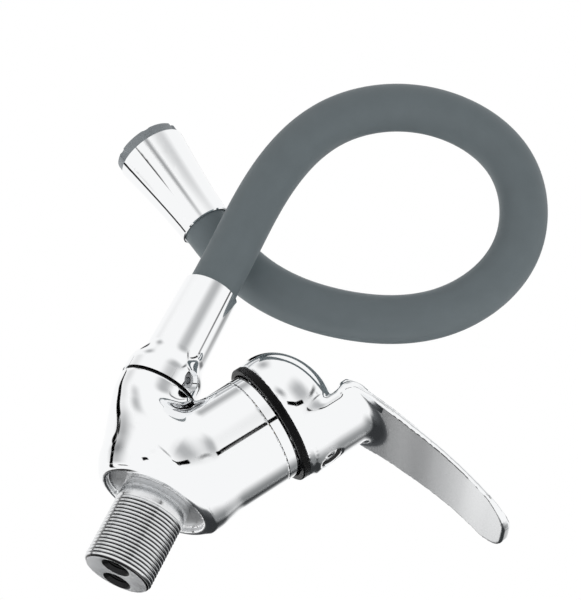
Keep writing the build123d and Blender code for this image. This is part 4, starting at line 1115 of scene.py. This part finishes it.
@dataclass
class Studio:
    """White room, pale floor, soft lamps, cards for the chrome to mirror, and the photograph's camera."""

    # Camera: its place in millimetres and, in degrees, the side and height it looks from and its roll
    camera_at: tuple = (194.384, -925.607, -337.967)
    azimuth: float = 11.248
    elevation: float = -24.979
    roll: float = 27.711
    focal_px: float = 2610.0
    image_px: float = 600.0
    sensor_mm: float = 36.0
    clip: tuple = (0.01, 20.0)
    # Room: how strongly it lights the tap, and how bright it looks to the camera and to mirrors
    ambient: float = 0.4
    white: float = 1.0
    # Floor: its level in millimetres, and in metres its half side and the distances that it fades out between
    floor_level: float = -32.5
    floor_half: float = 3.0
    fade_start: float = 0.3
    fade_end: float = 0.9
    floor_colour: str = "f2f2f2"
    floor_roughness: float = 0.7
    # What the lamps and the cards face, and how far off the cards stand, in metres
    lamps_face: tuple = (0.0, 0.0, 0.1)
    cards_face: tuple = (0.02, 0.0, 0.06)
    card_distance: float = 1.4

    def camera(self) -> None:
        """Stands the camera where the photograph was taken, below the tap and tilted."""
        lens = bpy.data.cameras.new("camera")
        lens.sensor_width = self.sensor_mm
        lens.lens = self.focal_px / self.image_px * self.sensor_mm
        lens.clip_start, lens.clip_end = self.clip
        view = bpy.data.objects.new("camera", lens)
        place = Matrix.Translation(Vector(self.camera_at) * MM)
        for angle, axis in ((self.azimuth, "Z"), (90 - self.elevation, "X"), (self.roll, "Z")):
            place = place @ Matrix.Rotation(radians(angle), 4, axis)
        view.matrix_world = place
        bpy.context.scene.collection.objects.link(view)
        bpy.context.scene.camera = view

    def world(self) -> None:
        """Lights evenly with a soft grey, and looks white to the camera, mirrors and clear materials."""
        world = bpy.data.worlds.new("room")
        tree = empty_tree(world)
        path = add_node(tree, "ShaderNodeLightPath").outputs
        seen = path["Is Camera Ray"]
        for ray in ("Is Glossy Ray", "Is Transmission Ray"):
            either = add_node(tree, "ShaderNodeMath", {"operation": "MAXIMUM"}, links={0: seen, 1: path[ray]})
            seen = either.outputs[0]
        level = add_node(tree, "ShaderNodeMapRange", values={"To Min": self.ambient, "To Max": self.white},
                         links={"Value": seen})
        glow = add_node(tree, "ShaderNodeBackground", values={"Color": linear("ffffff")},
                        links={"Strength": level.outputs["Result"]})
        add_node(tree, "ShaderNodeOutputWorld", links={"Surface": glow.outputs[0]})
        bpy.context.scene.world = world

    @staticmethod
    def square(name: str, material: bpy.types.Material, half: float, level: float) -> bpy.types.Object:
        """Makes a flat square of the studio, which isn't a piece of the tap.

        Args:
            name: its name.
            material: its material.
            half: half its side in metres.
            level: its height in metres.

        Returns:
            The square.
        """
        mesh = bpy.data.meshes.new(name)
        corners = [(x * half, y * half, level) for x, y in ((-1, -1), (1, -1), (1, 1), (-1, 1))]
        mesh.from_pydata(corners, [], [(0, 1, 2, 3)])
        mesh.materials.append(material)
        board = bpy.data.objects.new(name, mesh)
        bpy.context.scene.collection.objects.link(board)
        return board

    def floor(self) -> None:
        """Lays a pale floor that is clear from below, where the photograph's camera is, and to mirrors.

        It fades out into the white of the room with the distance from the tap.
        """
        material = bpy.data.materials.new("pale_floor")
        tree = empty_tree(material)
        paint = add_node(tree, "ShaderNodeBsdfPrincipled", values={
            "Base Color": linear(self.floor_colour), "Roughness": self.floor_roughness})
        clear = add_node(tree, "ShaderNodeBsdfTransparent")
        place = add_node(tree, "ShaderNodeTexCoord").outputs["Object"]
        reach = add_node(tree, "ShaderNodeVectorMath", {"operation": "LENGTH"}, links={0: place})
        fade = add_node(tree, "ShaderNodeMapRange", {"interpolation_type": "SMOOTHSTEP"}, {
            "From Min": self.fade_start, "From Max": self.fade_end}, {"Value": reach.outputs["Value"]})
        mirrored = add_node(tree, "ShaderNodeLightPath").outputs["Is Glossy Ray"]
        through = add_node(tree, "ShaderNodeNewGeometry").outputs["Backfacing"]
        for reason in (mirrored, fade.outputs["Result"]):
            either = add_node(tree, "ShaderNodeMath", {"operation": "MAXIMUM"}, links={0: through, 1: reason})
            through = either.outputs[0]
        mix = add_node(tree, "ShaderNodeMixShader", links={
            0: through, 1: paint.outputs[0], 2: clear.outputs[0]})
        add_node(tree, "ShaderNodeOutputMaterial", links={"Surface": mix.outputs[0]})
        self.square("floor", material, self.floor_half, self.floor_level * MM)

    def lamp(self, lamp: Lamp) -> None:
        """Hangs a lamp that faces the tap and that mirrors don't see.

        Args:
            lamp: the lamp.
        """
        light = bpy.data.lights.new(lamp.name, "AREA")
        light.shape, light.size, light.energy = "SQUARE", lamp.size, lamp.power
        hung = bpy.data.objects.new(lamp.name, light)
        hung.location, hung.visible_glossy = lamp.place, False
        way = Vector(self.lamps_face) - Vector(lamp.place)
        hung.rotation_euler = way.to_track_quat("-Z", "Y").to_euler()
        bpy.context.scene.collection.objects.link(hung)

    def card(self, card: Card) -> None:
        """Stands a grey card in the room that only mirrors see, as a filter before its white.

        The card's grey fades to clear towards its edges, and where cards overlap their greys multiply.

        Args:
            card: the card.
        """
        material = bpy.data.materials.new(card.name)
        tree = empty_tree(material)
        place = add_node(tree, "ShaderNodeTexCoord").outputs["Object"]
        axes = add_node(tree, "ShaderNodeSeparateXYZ", links={"Vector": place})
        parts = []
        for axis in ("X", "Y"):
            reach = add_node(tree, "ShaderNodeMath", {"operation": "ABSOLUTE"}, links={0: axes.outputs[axis]})
            part = add_node(tree, "ShaderNodeMapRange", {"interpolation_type": "SMOOTHSTEP"}, {
                "From Min": 1.0, "From Max": 1.0 - card.softness}, {"Value": reach.outputs[0]})
            parts.append(part.outputs["Result"])
        solid = add_node(tree, "ShaderNodeMath", {"operation": "MULTIPLY"}, links={0: parts[0], 1: parts[1]})
        clear = add_node(tree, "ShaderNodeBsdfTransparent")
        grey = add_node(tree, "ShaderNodeBsdfTransparent", values={"Color": linear(card.shade)})
        mix = add_node(tree, "ShaderNodeMixShader", links={
            0: solid.outputs[0], 1: clear.outputs[0], 2: grey.outputs[0]})
        add_node(tree, "ShaderNodeOutputMaterial", links={"Surface": mix.outputs[0]})
        board = self.square(card.name, material, 1.0, 0.0)
        first, last = card.way(card.start), card.way(card.end)
        out = (first + last).normalized()
        along = (last - first).normalized()
        turn = Matrix((along, out.cross(along), out)).transposed()
        size = Vector((tan(first.angle(last) / 2), tan(radians(card.breadth / 2)), 1))
        board.matrix_world = Matrix.LocRotScale(
            Vector(self.cards_face) + out * self.card_distance, turn, size * self.card_distance)
        board.visible_camera = board.visible_shadow = board.visible_diffuse = False

    def build(self) -> None:
        """Sets up the whole studio."""
        self.camera()
        self.world()
        self.floor()
        for lamp in LAMPS:
            self.lamp(lamp)
        for card in CARDS:
            self.card(card)


def main() -> None:
    """Sets up the studio and builds the pieces in order."""
    bpy.context.scene.view_settings.view_transform = "Standard"
    Studio().build()
    CadNodes().dress()
    for piece in (Hose(), Lever(), BodyCasting(), ThreadedShank(), CoverPlug()):
        piece.build()


if __name__ == "__main__":
    logging.basicConfig(level=logging.INFO, format="%(message)s")
    main()
